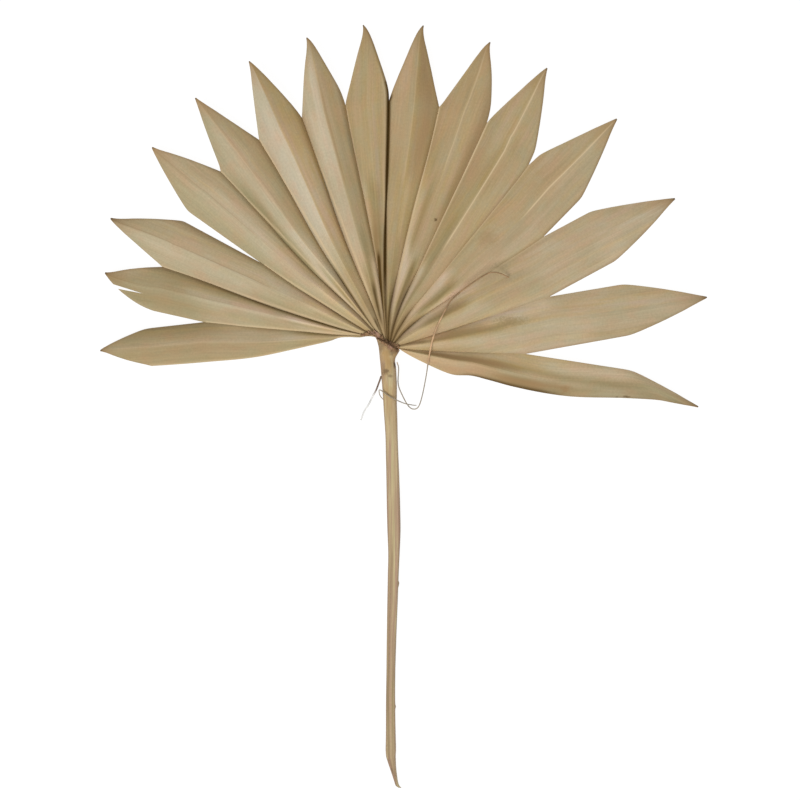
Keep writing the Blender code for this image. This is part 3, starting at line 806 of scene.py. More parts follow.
# tone along the stem: place along Y (mm from the hub), then how bright it is in each of
# the tone columns, left to right
stemTones = (
    (-295, 0.90, 0.60, 0.80, 0.95, 1.10),
    (-268, 0.84, 0.50, 0.94, 0.86, 1.10),
    (-258, 0.70, 0.52, 1.00, 0.72, 1.15),
    (-240, 0.56, 0.56, 0.96, 0.62, 1.15),
    (-226, 0.60, 0.58, 0.92, 0.66, 1.00),
    (-210, 0.86, 0.50, 0.86, 0.84, 0.96),
    (-190, 0.84, 0.50, 0.96, 1.02, 1.15),
    (-165, 0.86, 0.52, 1.00, 1.10, 1.15),
    (-145, 0.82, 0.66, 0.98, 1.14, 1.12),
    (-128, 0.85, 0.88, 0.92, 1.12, 1.10),
    (-112, 0.96, 0.90, 0.93, 1.14, 1.08),
    (-95, 1.00, 1.00, 0.98, 1.18, 1.20),
    (-60, 1.02, 1.06, 1.00, 1.18, 1.25),
    (-30, 1.00, 1.05, 1.02, 1.15, 1.20),
    (-22, 0.90, 0.94, 0.96, 1.00, 1.10),
    (-8, 0.95, 1.00, 0.95, 0.98, 1.10),
    (10, 0.90, 0.90, 0.92, 0.95, 1.00),
)

# sections of the stem, cut end first: place along Y, left and right edge, lowest
# and highest point (mm from the hub), turn of the section (degrees)
stemSections = (
    (-294.4, 6.4, 8.3, 1.4, 2.3, 0),
    (-293.2, 4.5, 6.9, 1.0, 2.8, 0),
    (-290.5, 3.5, 5.9, 0.5, 3.4, 0),
    (-285.0, 1.7, 5.1, 0.0, 4.1, 0),
    (-280.0, 0.0, 4.6, 0.0, 4.6, 0),
    (-275.0, -1.6, 4.4, 0.0, 4.9, 0),
    (-273.5, -1.9, 4.3, 0.0, 5.0, 0),
    (-270.0, -1.9, 4.2, 0.2, 5.1, 0),
    (-260.0, -1.7, 3.9, 0.5, 5.3, 0),
    (-239.0, -1.6, 3.6, 0.8, 5.6, 0),
    (-218.0, -1.3, 3.7, 1.0, 6.0, 0),
    (-197.0, -1.1, 4.3, 1.2, 6.4, 0),
    (-176.0, -0.8, 5.1, 1.4, 6.9, 0),
    (-155.0, -0.4, 5.9, 1.6, 7.4, 0),
    (-140.0, -0.1, 6.5, 1.7, 7.7, 0),
    (-125.0, -0.6, 7.1, 1.8, 8.0, 0),
    (-110.0, -1.0, 6.9, 1.9, 8.2, 0),
    (-94.0, -1.3, 6.4, 2.1, 8.5, 0),
    (-78.0, -1.6, 5.8, 2.3, 8.8, 0),
    (-64.0, -1.9, 5.3, 2.5, 9.2, 0),
    (-54.0, -2.5, 5.1, 2.6, 9.5, 0),
    (-42.0, -3.4, 4.8, 2.7, 10.0, 0),
    (-30.0, -4.5, 5.2, 2.8, 10.5, 0),
    (-23.0, -5.1, 4.9, 2.9, 10.9, 4),
    (-17.0, -5.6, 4.6, 3.0, 11.2, 8),
    (-12.4, -6.1, 4.0, 3.0, 11.4, 12),
    (-9.6, -6.4, 4.4, 3.1, 11.7, 17),
    (-6.6, -6.9, 5.6, 3.1, 11.7, 22),
    (-3.6, -8.0, 6.6, 3.2, 11.6, 27),
    (-2.2, -8.9, 7.0, 3.2, 11.0, 28),
    (-1.8, -8.6, 6.6, 3.3, 7.2, 28),
    (4.0, -6.0, 5.2, 3.5, 6.95, 16),
    (10.0, -3.6, 4.4, 4.2, 6.4, 0),
)


def stemPlace(share):
    rings = stem["ringPlaces"]
    for (low, a), (high, b) in zip(rings, rings[1:]):
        if share <= high:
            break
    return a + (b - a) * (share - low) / (high - low)


def stemPoint(place, angle):
    # a point of the stem's skin (mm from the hub), and what its material reads there
    across, up = math.cos(angle), math.sin(angle)
    left, right, low, high, turned = rowAt(stemSections, place)
    halfWidth = (right - left) / 2
    if place < stem["flatUntil"]:
        halfHeight = high / (1 + stem["flatShare"])
        z = max(high - halfHeight + up * halfHeight, max(low, 0.0))
    else:
        z = (low + high) / 2 + up * (high - low) / 2
    groove = math.sin(angle * stem["grooves"] + 1.4 * wobble(place * 0.03, angle, 2.0))
    groove += wobble(across * 4, up * 4, place * 0.05)
    inward = stem["grooveDepth"] / mm * 0.5 * groove * min(halfWidth / 4, 1)
    wider = stem["wider"] / mm * ramp(place, *stem["widerUntil"]) * ramp(place, *stem["widerFrom"])
    nub = sum(rise * bell(place, at, stem["nubLength"]) for at, rise in stem["nubs"])
    wider += nub * max(across, 0.0) ** 6
    x = (left + right) / 2 + across * (halfWidth - inward + wider)
    y = place - across * halfWidth * math.tan(math.radians(turned))
    z -= up * inward * (1 if up < 0 else 0.6)
    # painted shade along both sides of the stem
    sideShade = max(abs(across) - stem["outerEdge"], 0.0) / (1 - stem["outerEdge"])
    worn = ramp(place, *stem["worn"])
    # the cut's darker face, with painted shade along its left edge
    cut = 0.8 * (ramp(place, *stem["cutUntil"]) * bell(across, *stem["cutAcross"]))
    scar = 0.5 * min(nub, 0.7) * max(across, 0.0) ** 4
    tone = smoothBetween(list(zip(stem["toneColumns"], rowAt(stemTones, place))), across)
    return Vector((x, y, max(z, 0.0))), [sideShade, worn, max(cut, scar), tone / 2]


def buildStem():
    selectOnly()
    bpy.ops.mesh.primitive_cylinder_add(
        vertices=stem["sides"], radius=1.0, depth=1.0, end_fill_type="NGON", location=(0, 0, 0)
    )
    made = bpy.context.object
    made.name = made.data.name = "palmStem"
    for cuts in stem["cuts"]:
        bpy.ops.object.mode_set(mode="EDIT")
        bpy.ops.mesh.select_mode(type="EDGE")
        bpy.ops.mesh.select_all(action="DESELECT")
        bpy.ops.object.mode_set(mode="OBJECT")
        mesh = made.data
        for edge in mesh.edges:
            a, b = (mesh.vertices[k].co for k in edge.vertices)
            edge.select = abs(a.z - b.z) > 1e-4
        bpy.ops.object.mode_set(mode="EDIT")
        bpy.ops.mesh.subdivide(number_cuts=cuts)
        bpy.ops.object.mode_set(mode="OBJECT")
    finish = []
    for vertex in made.data.vertices:
        angle = math.atan2(vertex.co.y, vertex.co.x)
        point, colour = stemPoint(stemPlace(vertex.co.z + 0.5), angle)
        vertex.co = hub + point * mm
        finish += colour
    made.data.attributes.new("stemFinish", "FLOAT_COLOR", "POINT").data.foreach_set("color", finish)
    bpy.ops.object.mode_set(mode="EDIT")
    bpy.ops.mesh.select_all(action="SELECT")
    bpy.ops.mesh.normals_make_consistent(inside=False)
    bpy.ops.object.mode_set(mode="OBJECT")
    bpy.ops.object.shade_smooth_by_angle(angle=math.radians(40))
    print("stem,", len(made.data.polygons), "faces")
    return made


fibre = {
    "radius": 0.42 * mm,
    "steps": 5,
    "seatGap": 0.3 * mm,
    "tautPasses": 200,
}

# peeled fibres: points along each (mm from the hub)
longFibre = (
    (5.2, -14.2, 7.4),
    (6.3, -18.4, 7.2),
    (6.0, -28.4, 6.0),
    (8.7, -35.9, 4.4),
    (12.7, -43.0, 2.2),
    (16.1, -45.1, 1.5),
    (19.4, -43.5, 2.0),
    (21.9, -35.9, 3.9),
    (24.5, -22.6, 7.4),
    (25.7, -14.2, 9.0),
    (27.8, -2.5, 9.5),
    (30.3, 5.9, 9.5),
    (32.8, 11.8, 9.5),
    (37.9, 21.8, 9.5),
    (42.0, 27.6, 9.5),
    (53.8, 37.1, 9.0),
    (65.3, 44.1, 8.5),
    (72.4, 44.1, 8.0),
    (78.7, 41.3, 8.0),
)
crossingFibre = (
    (18.0, -42.6, 3.2),
    (16.0, -42.5, 4.0),
    (11.0, -41.6, 5.6),
    (6.6, -39.9, 8.6),
    (4.0, -38.6, 10.3),
    (0.5, -36.9, 11.1),
    (-3.0, -34.4, 10.5),
    (-5.6, -32.6, 8.0),
    (-6.6, -33.0, 5.0),
    (-6.0, -36.0, 2.9),
    (-4.2, -38.4, 1.9),
    (-1.5, -40.2, 1.5),
)
leftFibre = (
    (-5.2, -23.6, 7.2),
    (-5.8, -25.4, 6.4),
    (-6.9, -28.4, 5.4),
    (-8.6, -32.8, 3.8),
    (-11.1, -37.2, 2.5),
    (-13.6, -42.2, 1.6),
    (-16.7, -47.2, 1.1),
    (-18.6, -52.5, 0.8),
)


def smoothRoute(points):
    points = [Vector(point) * mm for point in points]
    padded = [points[0] * 2 - points[1], *points, points[-1] * 2 - points[-2]]
    route = []
    for before, start, end, after in zip(padded, padded[1:], padded[2:], padded[3:]):
        for number in range(fibre["steps"]):
            t = number / fibre["steps"]
            out = (end - before) / 2
            into = (after - start) / 2
            bend = start * (2 * t**3 - 3 * t**2 + 1) + end * (3 * t**2 - 2 * t**3)
            route.append(bend + out * (t**3 - 2 * t**2 + t) + into * (t**3 - t**2))
    return [*route, points[-1]]


def layOnBlade(route, fan):
    # lifts a route over the fan's ridges, pulled straight between them
    trees = [BVHTree.FromObject(fan, bpy.context.evaluated_depsgraph_get())]
    lift = 1.5 * (fibre["radius"] + fibre["seatGap"])
    over = []
    for number, point in enumerate(route):
        below = levelBelow(trees, point)
        if below is not None:
            over.append(number)
            point.z = max(point.z, below + lift)
    for _ in range(fibre["tautPasses"]):
        for number in over[:-1]:
            level = (route[number - 1].z + route[number + 1].z) / 2
            route[number].z = max(route[number].z, level)


def buildFibre(name, route, thickness):
    # thickness: (share of the length, share of the full radius) pairs
    curve = bpy.data.curves.new(name, "CURVE")
    curve.dimensions = "3D"
    curve.bevel_depth = fibre["radius"]
    curve.bevel_resolution = 2
    curve.use_fill_caps = True
    spline = curve.splines.new("POLY")
    spline.points.add(len(route) - 1)
    for number, (place, point) in enumerate(zip(spline.points, route)):
        place.co = (*(hub + point), 1.0)
        place.radius = smoothBetween(thickness, number / (len(route) - 1))
    made = bpy.data.objects.new(name, curve)
    bpy.context.scene.collection.objects.link(made)
    selectOnly(made)
    bpy.ops.object.convert(target="MESH")
    made = bpy.context.object
    bpy.ops.object.shade_smooth()
    print(name, "of", len(made.data.polygons), "faces")
    return made


crust = {
    "columns": 120,
    "rows": 14,
    "lift": 0.7 * mm,
    "crumple": 0.45 * mm,
    "ragged": 0.7,             # how far its edges wander, share of its half width
    "wall": 0.5 * mm,
    "feelers": (-1.6, -0.8, 0.0, 0.8, 1.6),   # mm aside of a point, where the level below is felt
    "bareLevel": 7 * mm,       # level where nothing lies below
}

# the crust's middle line and its width, left to right (mm from the hub)
crustLine = (
    (-18.5, 3.3, 0.7),
    (-15.2, 4.0, 1.7),
    (-12.6, 4.8, 2.8),
    (-9.0, 4.3, 3.2),
    (-5.6, 1.4, 3.0),
    (-2.0, -1.8, 3.4),
    (1.4, -4.0, 5.0),
    (4.2, -4.9, 5.0),
    (6.6, -5.7, 4.0),
)


def crustPoint(x):
    y, width = rowAt(crustLine, x)
    return Vector((x, y)) * mm, width * mm


def buildCrust(*below):
    # the crumpled skin where the leaflets grow out of the stem's head
    graph = bpy.context.evaluated_depsgraph_get()
    trees = [BVHTree.FromObject(piece, graph) for piece in below]
    selectOnly()
    bpy.ops.mesh.primitive_grid_add(
        x_subdivisions=crust["columns"], y_subdivisions=crust["rows"], size=2.0, location=(0, 0, 0)
    )
    made = bpy.context.object
    made.name = made.data.name = "rootCrust"
    first, last = crustLine[0][0], crustLine[-1][0]
    for vertex in made.data.vertices:
        share = (vertex.co.x + 1) / 2
        across = vertex.co.y
        x = first + (last - first) * share
        middle, width = crustPoint(x)
        ahead = crustPoint(x + 0.2)[0]
        outward = (ahead - middle).normalized().orthogonal()
        ragged = wobble(share * 22, across, 3.0) + 0.7 * wobble(share * 60, across * 2, 8.0)
        flat = middle + outward * (across + crust["ragged"] * ragged) * width / 2
        beside = [flat + outward * step * mm for step in crust["feelers"]]
        levels = [levelBelow(trees, place, crust["bareLevel"]) for place in beside]
        level = max(levels[len(levels) // 2], sum(levels) / len(levels))
        crumple = wobble(share * 34, across * 2, 7.0) + 0.6 * wobble(share * 80, across * 4, 1.0)
        level += crust["lift"] + crust["crumple"] * crumple * (1 - across**2)
        vertex.co = hub + Vector((*flat, level))
    addWall(made, crust["wall"], -1.0)
    bpy.ops.object.shade_smooth_by_angle(angle=math.radians(60))
    print("root crust of", len(made.data.polygons), "faces")
    return made


# materials

def newGroup(name, inputs, outputs):
    group = bpy.data.node_groups.new(name, "ShaderNodeTree")
    for label in inputs:
        group.interface.new_socket(label, in_out="INPUT", socket_type="NodeSocketVector")
    for label in outputs:
        group.interface.new_socket(label, in_out="OUTPUT", socket_type="NodeSocketFloat")
    return group, group.nodes.new("NodeGroupInput").outputs, group.nodes.new("NodeGroupOutput").inputs


def useGroup(tree, group, vector):
    node = tree.nodes.new("ShaderNodeGroup")
    node.node_tree = group
    tree.links.new(vector, node.inputs["Vector"])
    return node


def fill(tree, sockets, values):
    # a number or a colour is set on its socket, anything else is linked to it
    for socket, value in zip(sockets, values):
        if isinstance(value, (int, float)):
            socket.default_value = value
        elif isinstance(value, tuple):
            socket.default_value = (*value, 1.0)
        else:
            tree.links.new(value, socket)


def mathNode(tree, operation, a, b, clamp=False):
    node = tree.nodes.new("ShaderNodeMath")
    node.operation = operation
    node.use_clamp = clamp
    fill(tree, node.inputs, (a, b))
    return node.outputs[0]


def product(tree, a, b):
    return mathNode(tree, "MULTIPLY", a, b)


def scaled(tree, value, by):
    return mathNode(tree, "MULTIPLY", value, by, True)


def rangeNode(tree, value, low, high, toLow=0.0, toHigh=1.0):
    node = tree.nodes.new("ShaderNodeMapRange")
    fill(tree, node.inputs, (value, low, high, toLow, toHigh))
    return node.outputs["Result"]


def mixColour(tree, share, a, b, blend="MIX"):
    node = tree.nodes.new("ShaderNodeMix")
    node.data_type = "RGBA"
    node.blend_type = blend
    fill(tree, (node.inputs[0], node.inputs[6], node.inputs[7]), (share, a, b))
    return node.outputs[2]


def multiplied(tree, colour, by):
    return mixColour(tree, 1.0, colour, by, "MULTIPLY")


def layered(tree, colour, palette, layers):
    # lays colours of a palette over each other, each through its mask
    for mask, name in layers:
        colour = mixColour(tree, mask, colour, palette[name])
    return colour


def noiseNode(tree, vector, scale, detail=2.0, rough=0.5):
    node = tree.nodes.new("ShaderNodeTexNoise")
    fill(tree, [node.inputs[name] for name in ("Vector", "Scale", "Detail", "Roughness")],
         (vector, scale, detail, rough))
    return node.outputs["Fac"]


def drawnNoise(tree, vector, across, along, offset, detail=2.0, rough=0.5):
    # noise with one scale across the fibres and another along them
    node = tree.nodes.new("ShaderNodeMapping")
    node.inputs["Scale"].default_value = (across, along, across)
    node.inputs["Location"].default_value = (offset, offset, offset)
    tree.links.new(vector, node.inputs["Vector"])
    return noiseNode(tree, node.outputs[0], 1.0, detail, rough)


def vectorMath(tree, operation, *values):
    node = tree.nodes.new("ShaderNodeVectorMath")
    node.operation = operation
    fill(tree, node.inputs, values)
    return node.outputs["Value" if operation == "LENGTH" else "Vector"]


def plantGrain():
    # long fibres: fine lines and broader streaks
    group, given, out = newGroup("plantGrain", ("Vector",), ("Fine", "Broad"))
    fine = drawnNoise(group, given["Vector"], 1500, 22, 0.0, 3.0, 0.6)
    hair = drawnNoise(group, given["Vector"], 4200, 45, 3.0, 1.0, 0.5)
    broad = drawnNoise(group, given["Vector"], 330, 9, 7.0, 2.5, 0.5)
    lines = mathNode(group, "ADD", product(group, fine, 0.65), product(group, hair, 0.35))
    group.links.new(lines, out["Fine"])
    group.links.new(broad, out["Broad"])
    return group


def raggedSpot():
    # the mask of an oval spot with a ragged edge, at a place on the part
    group, given, out = newGroup("spot", ("Vector", "Place", "Size"), ("Mask",))
    away = vectorMath(group, "SUBTRACT", given["Vector"], given["Place"])
    far = vectorMath(group, "LENGTH", vectorMath(group, "DIVIDE", away, given["Size"]))
    rough = drawnNoise(group, given["Vector"], 700, 700, 5.0, 2.0, 0.6)
    ragged = mathNode(group, "ADD", far, product(group, rough, 2.2))
    group.links.new(rangeNode(group, ragged, 2.3, 1.5), out["Mask"])
    return group


def addSpots(tree, vector, colour, palette, spots):
    for name, place, size, strength in spots:
        node = useGroup(tree, spotGroup, vector)
        node.inputs["Place"].default_value = hub + Vector(place) * mm
        node.inputs["Size"].default_value = Vector(size) * mm
        colour = mixColour(tree, product(tree, node.outputs["Mask"], strength), colour, palette[name])
    return colour


def newMaterial(name, roughness, shine=0.3):
    made = bpy.data.materials.new(name)
    made.use_nodes = True
    tree = made.node_tree
    shader = tree.nodes["Principled BSDF"]
    shader.inputs["Roughness"].default_value = roughness
    shader.inputs["Specular IOR Level"].default_value = shine
    return made, tree, shader


def readLayer(tree, name):
    # the four channels of a colour that the mesh carries
    layer = tree.nodes.new("ShaderNodeAttribute")
    layer.attribute_name = name
    parts = tree.nodes.new("ShaderNodeSeparateColor")
    tree.links.new(layer.outputs["Color"], parts.inputs["Color"])
    return *parts.outputs, layer.outputs["Alpha"]


def partPlace(tree):
    return tree.nodes.new("ShaderNodeTexCoord").outputs["Object"]


def finishShader(tree, shader, colour, height, strength, distance):
    # colour, and a relief of the given height
    tree.links.new(colour, shader.inputs["Base Color"])
    bump = tree.nodes.new("ShaderNodeBump")
    bump.inputs["Strength"].default_value = strength
    bump.inputs["Distance"].default_value = distance
    tree.links.new(height, bump.inputs["Height"])
    tree.links.new(bump.outputs["Normal"], shader.inputs["Normal"])


leafColours = {
    "gold": (0.455, 0.328, 0.146),
    "rose": (0.488, 0.345, 0.221),
    "grey": (0.480, 0.412, 0.285),
    "pink": (0.520, 0.330, 0.200),
    "olive": (0.318, 0.255, 0.138),
    "straw": (0.446, 0.352, 0.202),
    "salmon": (0.520, 0.318, 0.190),
    "sage": (0.400, 0.372, 0.240),
    "tan": (0.438, 0.303, 0.164),
    "pale": (0.555, 0.462, 0.305),
    "brown": (0.230, 0.140, 0.065),
    "tip": (0.330, 0.205, 0.095),
    "seam": (0.700, 0.540, 0.330),
    "shadeAndDirt": (0.084, 0.045, 0.008),
    "greyPatch": (0.508, 0.439, 0.310),
    "olivePatch": (0.310, 0.229, 0.103),
    # casts of the painted shade and of the painted light, whose paler bluer colour is a painted sheen
    "darkCast": (1.02, 1.0, 0.78),
    "paleCast": (0.985, 1.015, 1.24),
}

# weather spots: colour, place from the hub and half size (mm), strength
leafSpots = (
    ("shadeAndDirt", (30.5, 79.4, 5.0), (1.3, 1.0, 9.0), 0.8),
    ("tip", (115.6, -32.3, 5.0), (3.0, 2.6, 9.0), 0.7),
    ("shadeAndDirt", (156.1, -36.9, 5.0), (2.2, 0.8, 9.0), 0.6),
    ("shadeAndDirt", (149.8, -37.2, 5.0), (0.9, 0.6, 9.0), 0.5),
    ("olivePatch", (80.5, 12.5, 5.0), (11.0, 4.0, 9.0), 0.55),
    ("tip", (65.0, 67.0, 5.0), (7.0, 6.0, 9.0), 0.35),
)


def leafMaterial():
    made, tree, shader = newMaterial("dried palm leaf", 0.7, 0.12)
    uv = tree.nodes.new("ShaderNodeUVMap")
    uv.uv_map = "veins"
    veins = uv.outputs["UV"]
    grain = useGroup(tree, grainGroup, veins).outputs
    bleached, ridgeLine, seamLine, tipness = readLayer(tree, "leafFinish")
    warmth, halfTone, shadeAndDirt, patchy = readLayer(tree, "leafTint")
    golden, browned, greyed, pinkish = readLayer(tree, "leafHue")

    # streaks of olive and straw
    streak = rangeNode(tree, grain["Broad"], 0.30, 0.70, 0.15, 0.85)
    colour = mixColour(tree, streak, leafColours["olive"], leafColours["straw"])

    # tan blotches and bleached bands along the veins
    blotch = rangeNode(tree, drawnNoise(tree, veins, 60, 16, 4.0, 3.0, 0.6), 0.36, 0.66)
    band = rangeNode(tree, drawnNoise(tree, veins, 130, 5, 9.0), 0.30, 0.62)
    band = rangeNode(tree, band, 0.0, 1.0, 0.25, 1.0)
    layers = [(scaled(tree, blotch, warmth), "tan"), (product(tree, bleached, band), "pale")]

    # golden and rosy bands that change along the leaflet, and the hue of each half
    drift = drawnNoise(tree, veins, 190, 7, 21.0, 2.0, 0.55)
    goldBand = rangeNode(tree, drift, 0.50, 0.68, 0.0, 0.5)
    layers += [
        (mathNode(tree, "ADD", golden, goldBand, True), "gold"),
        (rangeNode(tree, drift, 0.46, 0.32, 0.0, 0.5), "rose"),
        (greyed, "grey"),
        (pinkish, "pink"),
    ]

    # blotches of salmon and sage
    for size, offset, amount in ((190, 17.0, 0.20), (85, 33.0, 0.22)):
        speck = drawnNoise(tree, veins, size, size * 0.5, offset)
        for name, high in (("salmon", 0.66), ("sage", 0.34)):
            layers.append((rangeNode(tree, speck, 0.50, high, 0.0, amount), name))

    # grey and olive patches where the leaf has weathered
    patch = drawnNoise(tree, veins, 110, 20, 13.0, 3.0, 0.55)
    for name, low, high, amount in (("greyPatch", 0.54, 0.70, 0.55), ("olivePatch", 0.46, 0.32, 0.6)):
        weathered = product(tree, rangeNode(tree, patch, low, high), patchy)
        layers.append((scaled(tree, weathered, amount), name))
    colour = layered(tree, colour, leafColours, layers)

    # fine veins, mottling and the tone of each half, which is painted light and shade; the
    # painted shade is yellower, the painted light paler and bluer, a painted sheen
    lines = rangeNode(tree, grain["Fine"], 0.35, 0.65, 0.92, 1.06)
    mottle = rangeNode(tree, drawnNoise(tree, veins, 700, 700, 5.0, 3.0, 0.65), 0.3, 0.7, 0.93, 1.07)
    tone = rangeNode(tree, halfTone, 0.0, 1.0, 0.6, 1.4)
    colour = multiplied(tree, colour, product(tree, product(tree, lines, mottle), tone))
    cast = mixColour(tree, halfTone, leafColours["darkCast"], leafColours["paleCast"])
    colour = multiplied(tree, colour, cast)

    # lines along the ridges and margins (pale seams with a painted highlight, painted shade on the
    # right margins), tips, spots and folds
    tip = mathNode(tree, "POWER", tipness, 2.0)
    colour = layered(tree, colour, leafColours, (
        (scaled(tree, rangeNode(tree, ridgeLine, 0.5, 1.0), 0.9), "seam"),
        (scaled(tree, rangeNode(tree, ridgeLine, 0.5, 0.0), 0.6), "brown"),
        (scaled(tree, rangeNode(tree, seamLine, 0.5, 1.0), 0.9), "seam"),
        (rangeNode(tree, seamLine, 0.5, 0.0), "brown"),
        (scaled(tree, tip, 0.8), "tip"),
        (browned, "tip"),
    ))
    colour = addSpots(tree, partPlace(tree), colour, leafColours, leafSpots)
    # the dark colour: painted shade in the folds and along free edges, with dark streaks, weather spots
    # and the dark tips
    colour = mixColour(tree, shadeAndDirt, colour, leafColours["shadeAndDirt"])
    finishShader(tree, shader, colour, grain["Fine"], 0.4, 0.12 * mm)
    return made


stemColours = {
    "pale": (0.520, 0.428, 0.238),
    "tan": (0.400, 0.285, 0.172),
    "red": (0.375, 0.232, 0.164),
    # painted shade along the sides and by the cut
    "edge": (0.270, 0.172, 0.108),
    "orange": (0.425, 0.275, 0.118),
    "brown": (0.215, 0.140, 0.070),
    "dark": (0.115, 0.075, 0.048),
    "darkCast": (1.05, 0.974, 0.925),
    "paleCast": (1.003, 1.014, 1.0),
}

# stains and a knot on the stem, and painted shade along its left side and by its cut (the
# ones in the edge colour): colour, place from the hub and half size (mm), strength
stemSpots = (
    ("brown", (-2.4, -20.6, 10.0), (2.6, 2.2, 9.0), 1.00),
    ("brown", (-3.6, -17.0, 10.0), (1.2, 3.4, 9.0), 0.40),
    ("brown", (0.6, -23.4, 10.0), (2.2, 0.9, 9.0), 0.65),
    ("dark", (3.7, -15.8, 9.0), (1.0, 2.2, 9.0), 1.0),
    ("edge", (-2.6, -250.0, 2.5), (1.5, 40.0, 9.0), 0.75),
    ("edge", (0.2, -279.5, 3.0), (1.5, 5.0, 9.0), 0.95),
    ("edge", (3.4, -287.5, 3.0), (1.5, 4.6, 9.0), 0.95),
    ("red", (1.0, -205.0, 4.0), (1.1, 70.0, 9.0), 0.60),
    ("brown", (-5.0, -4.6, 11.0), (2.6, 3.2, 9.0), 0.65),
    ("brown", (2.4, -7.6, 11.0), (3.8, 2.2, 9.0), 0.70),
    ("brown", (-4.4, -1.6, 11.0), (4.0, 2.4, 9.0), 0.60),
    ("orange", (-2.0, -9.0, 11.0), (2.6, 5.0, 9.0), 0.9),
)


def stemMaterial():
    made, tree, shader = newMaterial("dried palm stem", 0.65, 0.2)
    place = partPlace(tree)
    grain = useGroup(tree, grainGroup, place).outputs
    sideShade, worn, cutShadeAndScars, halfTone = readLayer(tree, "stemFinish")

    # pale, tan and red fibres side by side; what is dark is redder
    streak = rangeNode(tree, grain["Broad"], 0.36, 0.62)
    colour = mixColour(tree, streak, stemColours["tan"], stemColours["pale"])
    red = drawnNoise(tree, place, 520, 7, 31.0, 2.0, 0.55)
    colour = mixColour(tree, rangeNode(tree, red, 0.50, 0.66, 0.0, 0.85), colour, stemColours["red"])
    lines = rangeNode(tree, grain["Fine"], 0.34, 0.66, 0.84, 1.12)
    tone = product(tree, halfTone, 2.0)
    colour = multiplied(tree, colour, product(tree, lines, tone))
    toned = rangeNode(tree, tone, 0.6, 1.0)
    cast = mixColour(tree, toned, stemColours["darkCast"], stemColours["paleCast"])
    colour = multiplied(tree, colour, cast)

    # orange towards the head, painted shade along the sides, the cut with painted shade along its
    # edge, and the scars
    patches = rangeNode(tree, drawnNoise(tree, place, 260, 60, 11.0, 3.0, 0.6), 0.38, 0.60, 0.1, 1.0)
    colour = layered(tree, colour, stemColours, (
        (product(tree, worn, patches), "orange"),
        (scaled(tree, sideShade, 0.8), "edge"),
        (scaled(tree, cutShadeAndScars, 0.9), "dark"),
    ))
    colour = addSpots(tree, place, colour, stemColours, stemSpots)
    finishShader(tree, shader, colour, grain["Fine"], 0.8, 0.2 * mm)
    return made


crustColours = {
    "dark": (0.135, 0.074, 0.034),
    "light": (0.335, 0.198, 0.102),
    "rosy": (0.400, 0.235, 0.165),
}


def crustMaterial():
    made, tree, shader = newMaterial("brown root crust", 0.8)
    place = partPlace(tree)
    grain = useGroup(tree, grainGroup, place).outputs
    patches = rangeNode(tree, noiseNode(tree, place, 420.0, 3.0, 0.6), 0.34, 0.58)
    colour = mixColour(tree, patches, crustColours["dark"], crustColours["light"])
    rosy = rangeNode(tree, noiseNode(tree, place, 230.0), 0.50, 0.62, 0.0, 0.8)
    colour = mixColour(tree, rosy, colour, crustColours["rosy"])
    finishShader(tree, shader, colour, grain["Fine"], 0.9, 0.3 * mm)
    return made


# the colour of each fibre changes along Y: place in mm from the hub, then colour
fibreColours = {
    "worn fibre": (
        (-24, (0.300, 0.255, 0.195)), (-17, (0.320, 0.265, 0.200)), (-13, (0.600, 0.380, 0.210)),
        (14, (0.620, 0.400, 0.225)), (24, (0.330, 0.205, 0.105)),
    ),
    "split fibre": ((-37, (0.700, 0.690, 0.670)), (-32, (0.170, 0.110, 0.075))),
    "loop fibre": ((-43, (0.360, 0.320, 0.260)), (-39, (0.330, 0.270, 0.190))),
}


def fibreMaterial(name):
    made, tree, shader = newMaterial(name, 0.65)
    place = partPlace(tree)
    parts = tree.nodes.new("ShaderNodeSeparateXYZ")
    tree.links.new(place, parts.inputs["Vector"])
    stops = fibreColours[name]
    colour = stops[0][1]
    for (low, _), (high, nextColour) in zip(stops, stops[1:]):
        share = rangeNode(tree, parts.outputs["Y"], hub.y + low * mm, hub.y + high * mm)
        colour = mixColour(tree, share, colour, nextColour)
    patches = rangeNode(tree, noiseNode(tree, place, 160.0), 0.35, 0.65, 0.75, 1.2)
    tree.links.new(multiplied(tree, colour, patches), shader.inputs["Base Color"])
    return made


grainGroup = plantGrain()
spotGroup = raggedSpot()
fan = buildBlade()
fan.data.materials.clear()
fan.data.materials.append(leafMaterial())
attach(fan, "root")
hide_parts("fan_blade")

stalk = buildStem()
stalk.data.materials.append(stemMaterial())
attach(stalk, "root")
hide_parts("stem")

rootCrust = buildCrust(fan, stalk)
rootCrust.data.materials.append(crustMaterial())
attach(rootCrust, "root")

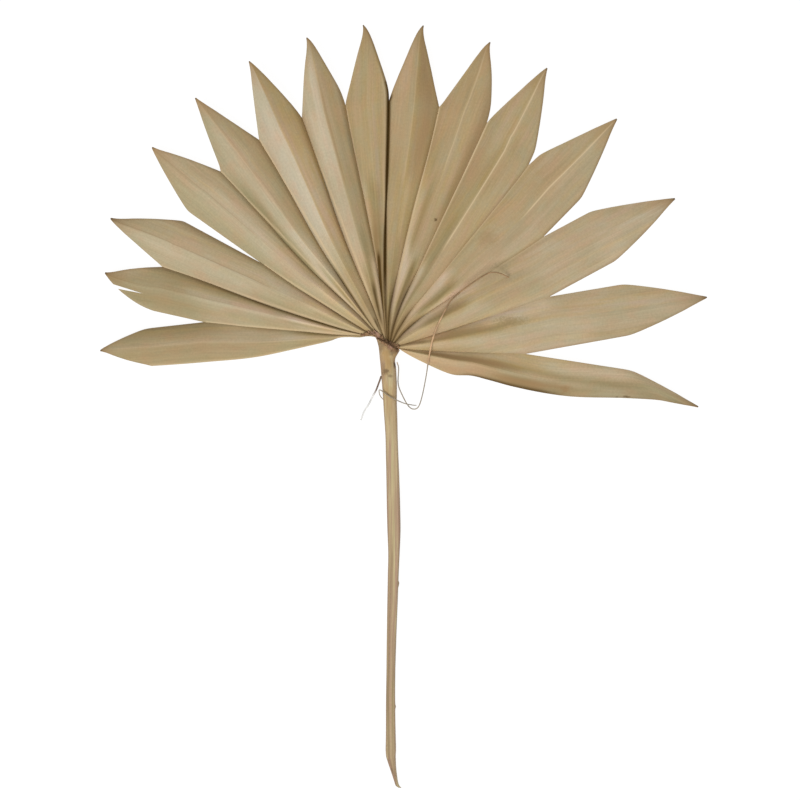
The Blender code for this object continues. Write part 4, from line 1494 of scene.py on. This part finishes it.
# each fibre's name, node, points and colours, then its thickness: share of its length
# and share of the full radius
for pieceName, nodeName, points, colours, thickness in (
    ("longFibre", "fibre_long", longFibre, "worn fibre",
     ((0, 0.8), (0.2, 0.9), (0.45, 0.9), (0.55, 1.3), (1, 1.0))),
    ("crossingFibre", "fibre_crossing", crossingFibre, "loop fibre", ((0, 0.7), (0.5, 0.9), (1, 0.6))),
    ("leftFibre", "fibre_left", leftFibre, "split fibre", ((0, 1.5), (0.4, 1.3), (0.55, 1.4), (1, 1.2))),
):
    route = smoothRoute(points)
    if pieceName == "longFibre":
        layOnBlade(route, fan)
    strand = buildFibre(pieceName, route, thickness)
    strand.data.materials.append(fibreMaterial(colours))
    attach(strand, "root")
    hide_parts(nodeName)

# floor, light and camera
bpy.ops.object.select_all(action="DESELECT")
bpy.ops.mesh.primitive_plane_add(size=6.0, location=(0, 0, -0.1 * mm))
floor = bpy.context.object
floor.name = "floor"
floorFinish, _, floorShader = newMaterial("floor", 0.9)
floorShader.inputs["Base Color"].default_value = (*studio["floorTone"], 1.0)
floorShader.inputs["Emission Color"].default_value = (1.0, 1.0, 1.0, 1.0)
floorShader.inputs["Emission Strength"].default_value = studio["floorGlow"]
floor.data.materials.append(floorFinish)

world = bpy.context.scene.world or bpy.data.worlds.new("studio")
bpy.context.scene.world = world
world.use_nodes = True
background = world.node_tree.nodes["Background"]
background.inputs["Color"].default_value = (1.0, 1.0, 1.0, 1.0)
background.inputs["Strength"].default_value = studio["skyStrength"]

turn = math.radians(studio["keyTurn"])
rise = math.radians(studio["keyRise"])
toKey = Vector((math.cos(turn) * math.cos(rise), math.sin(turn) * math.cos(rise), math.sin(rise)))
bpy.ops.object.light_add(type="AREA", location=hub + toKey * studio["keyDistance"])
key = bpy.context.object
key.name = "window light"
key.data.size = studio["keySize"]
key.data.energy = studio["keyPower"]
key.rotation_euler = toKey.to_track_quat("Z", "Y").to_euler()

side = studio["frameSide"] * studio["pixel"]
distance = side * studio["lens"] / studio["sensor"] + studio["sharpLevel"]
centre = hub + Vector((*studio["frameCentre"], distance))
bpy.ops.object.camera_add(location=centre, rotation=(0, 0, 0))
camera = bpy.context.object
camera.data.lens = studio["lens"]
camera.data.sensor_width = studio["sensor"]
bpy.context.scene.camera = camera
bpy.context.scene.view_settings.view_transform = "Standard"
print("floor, light and camera are set")
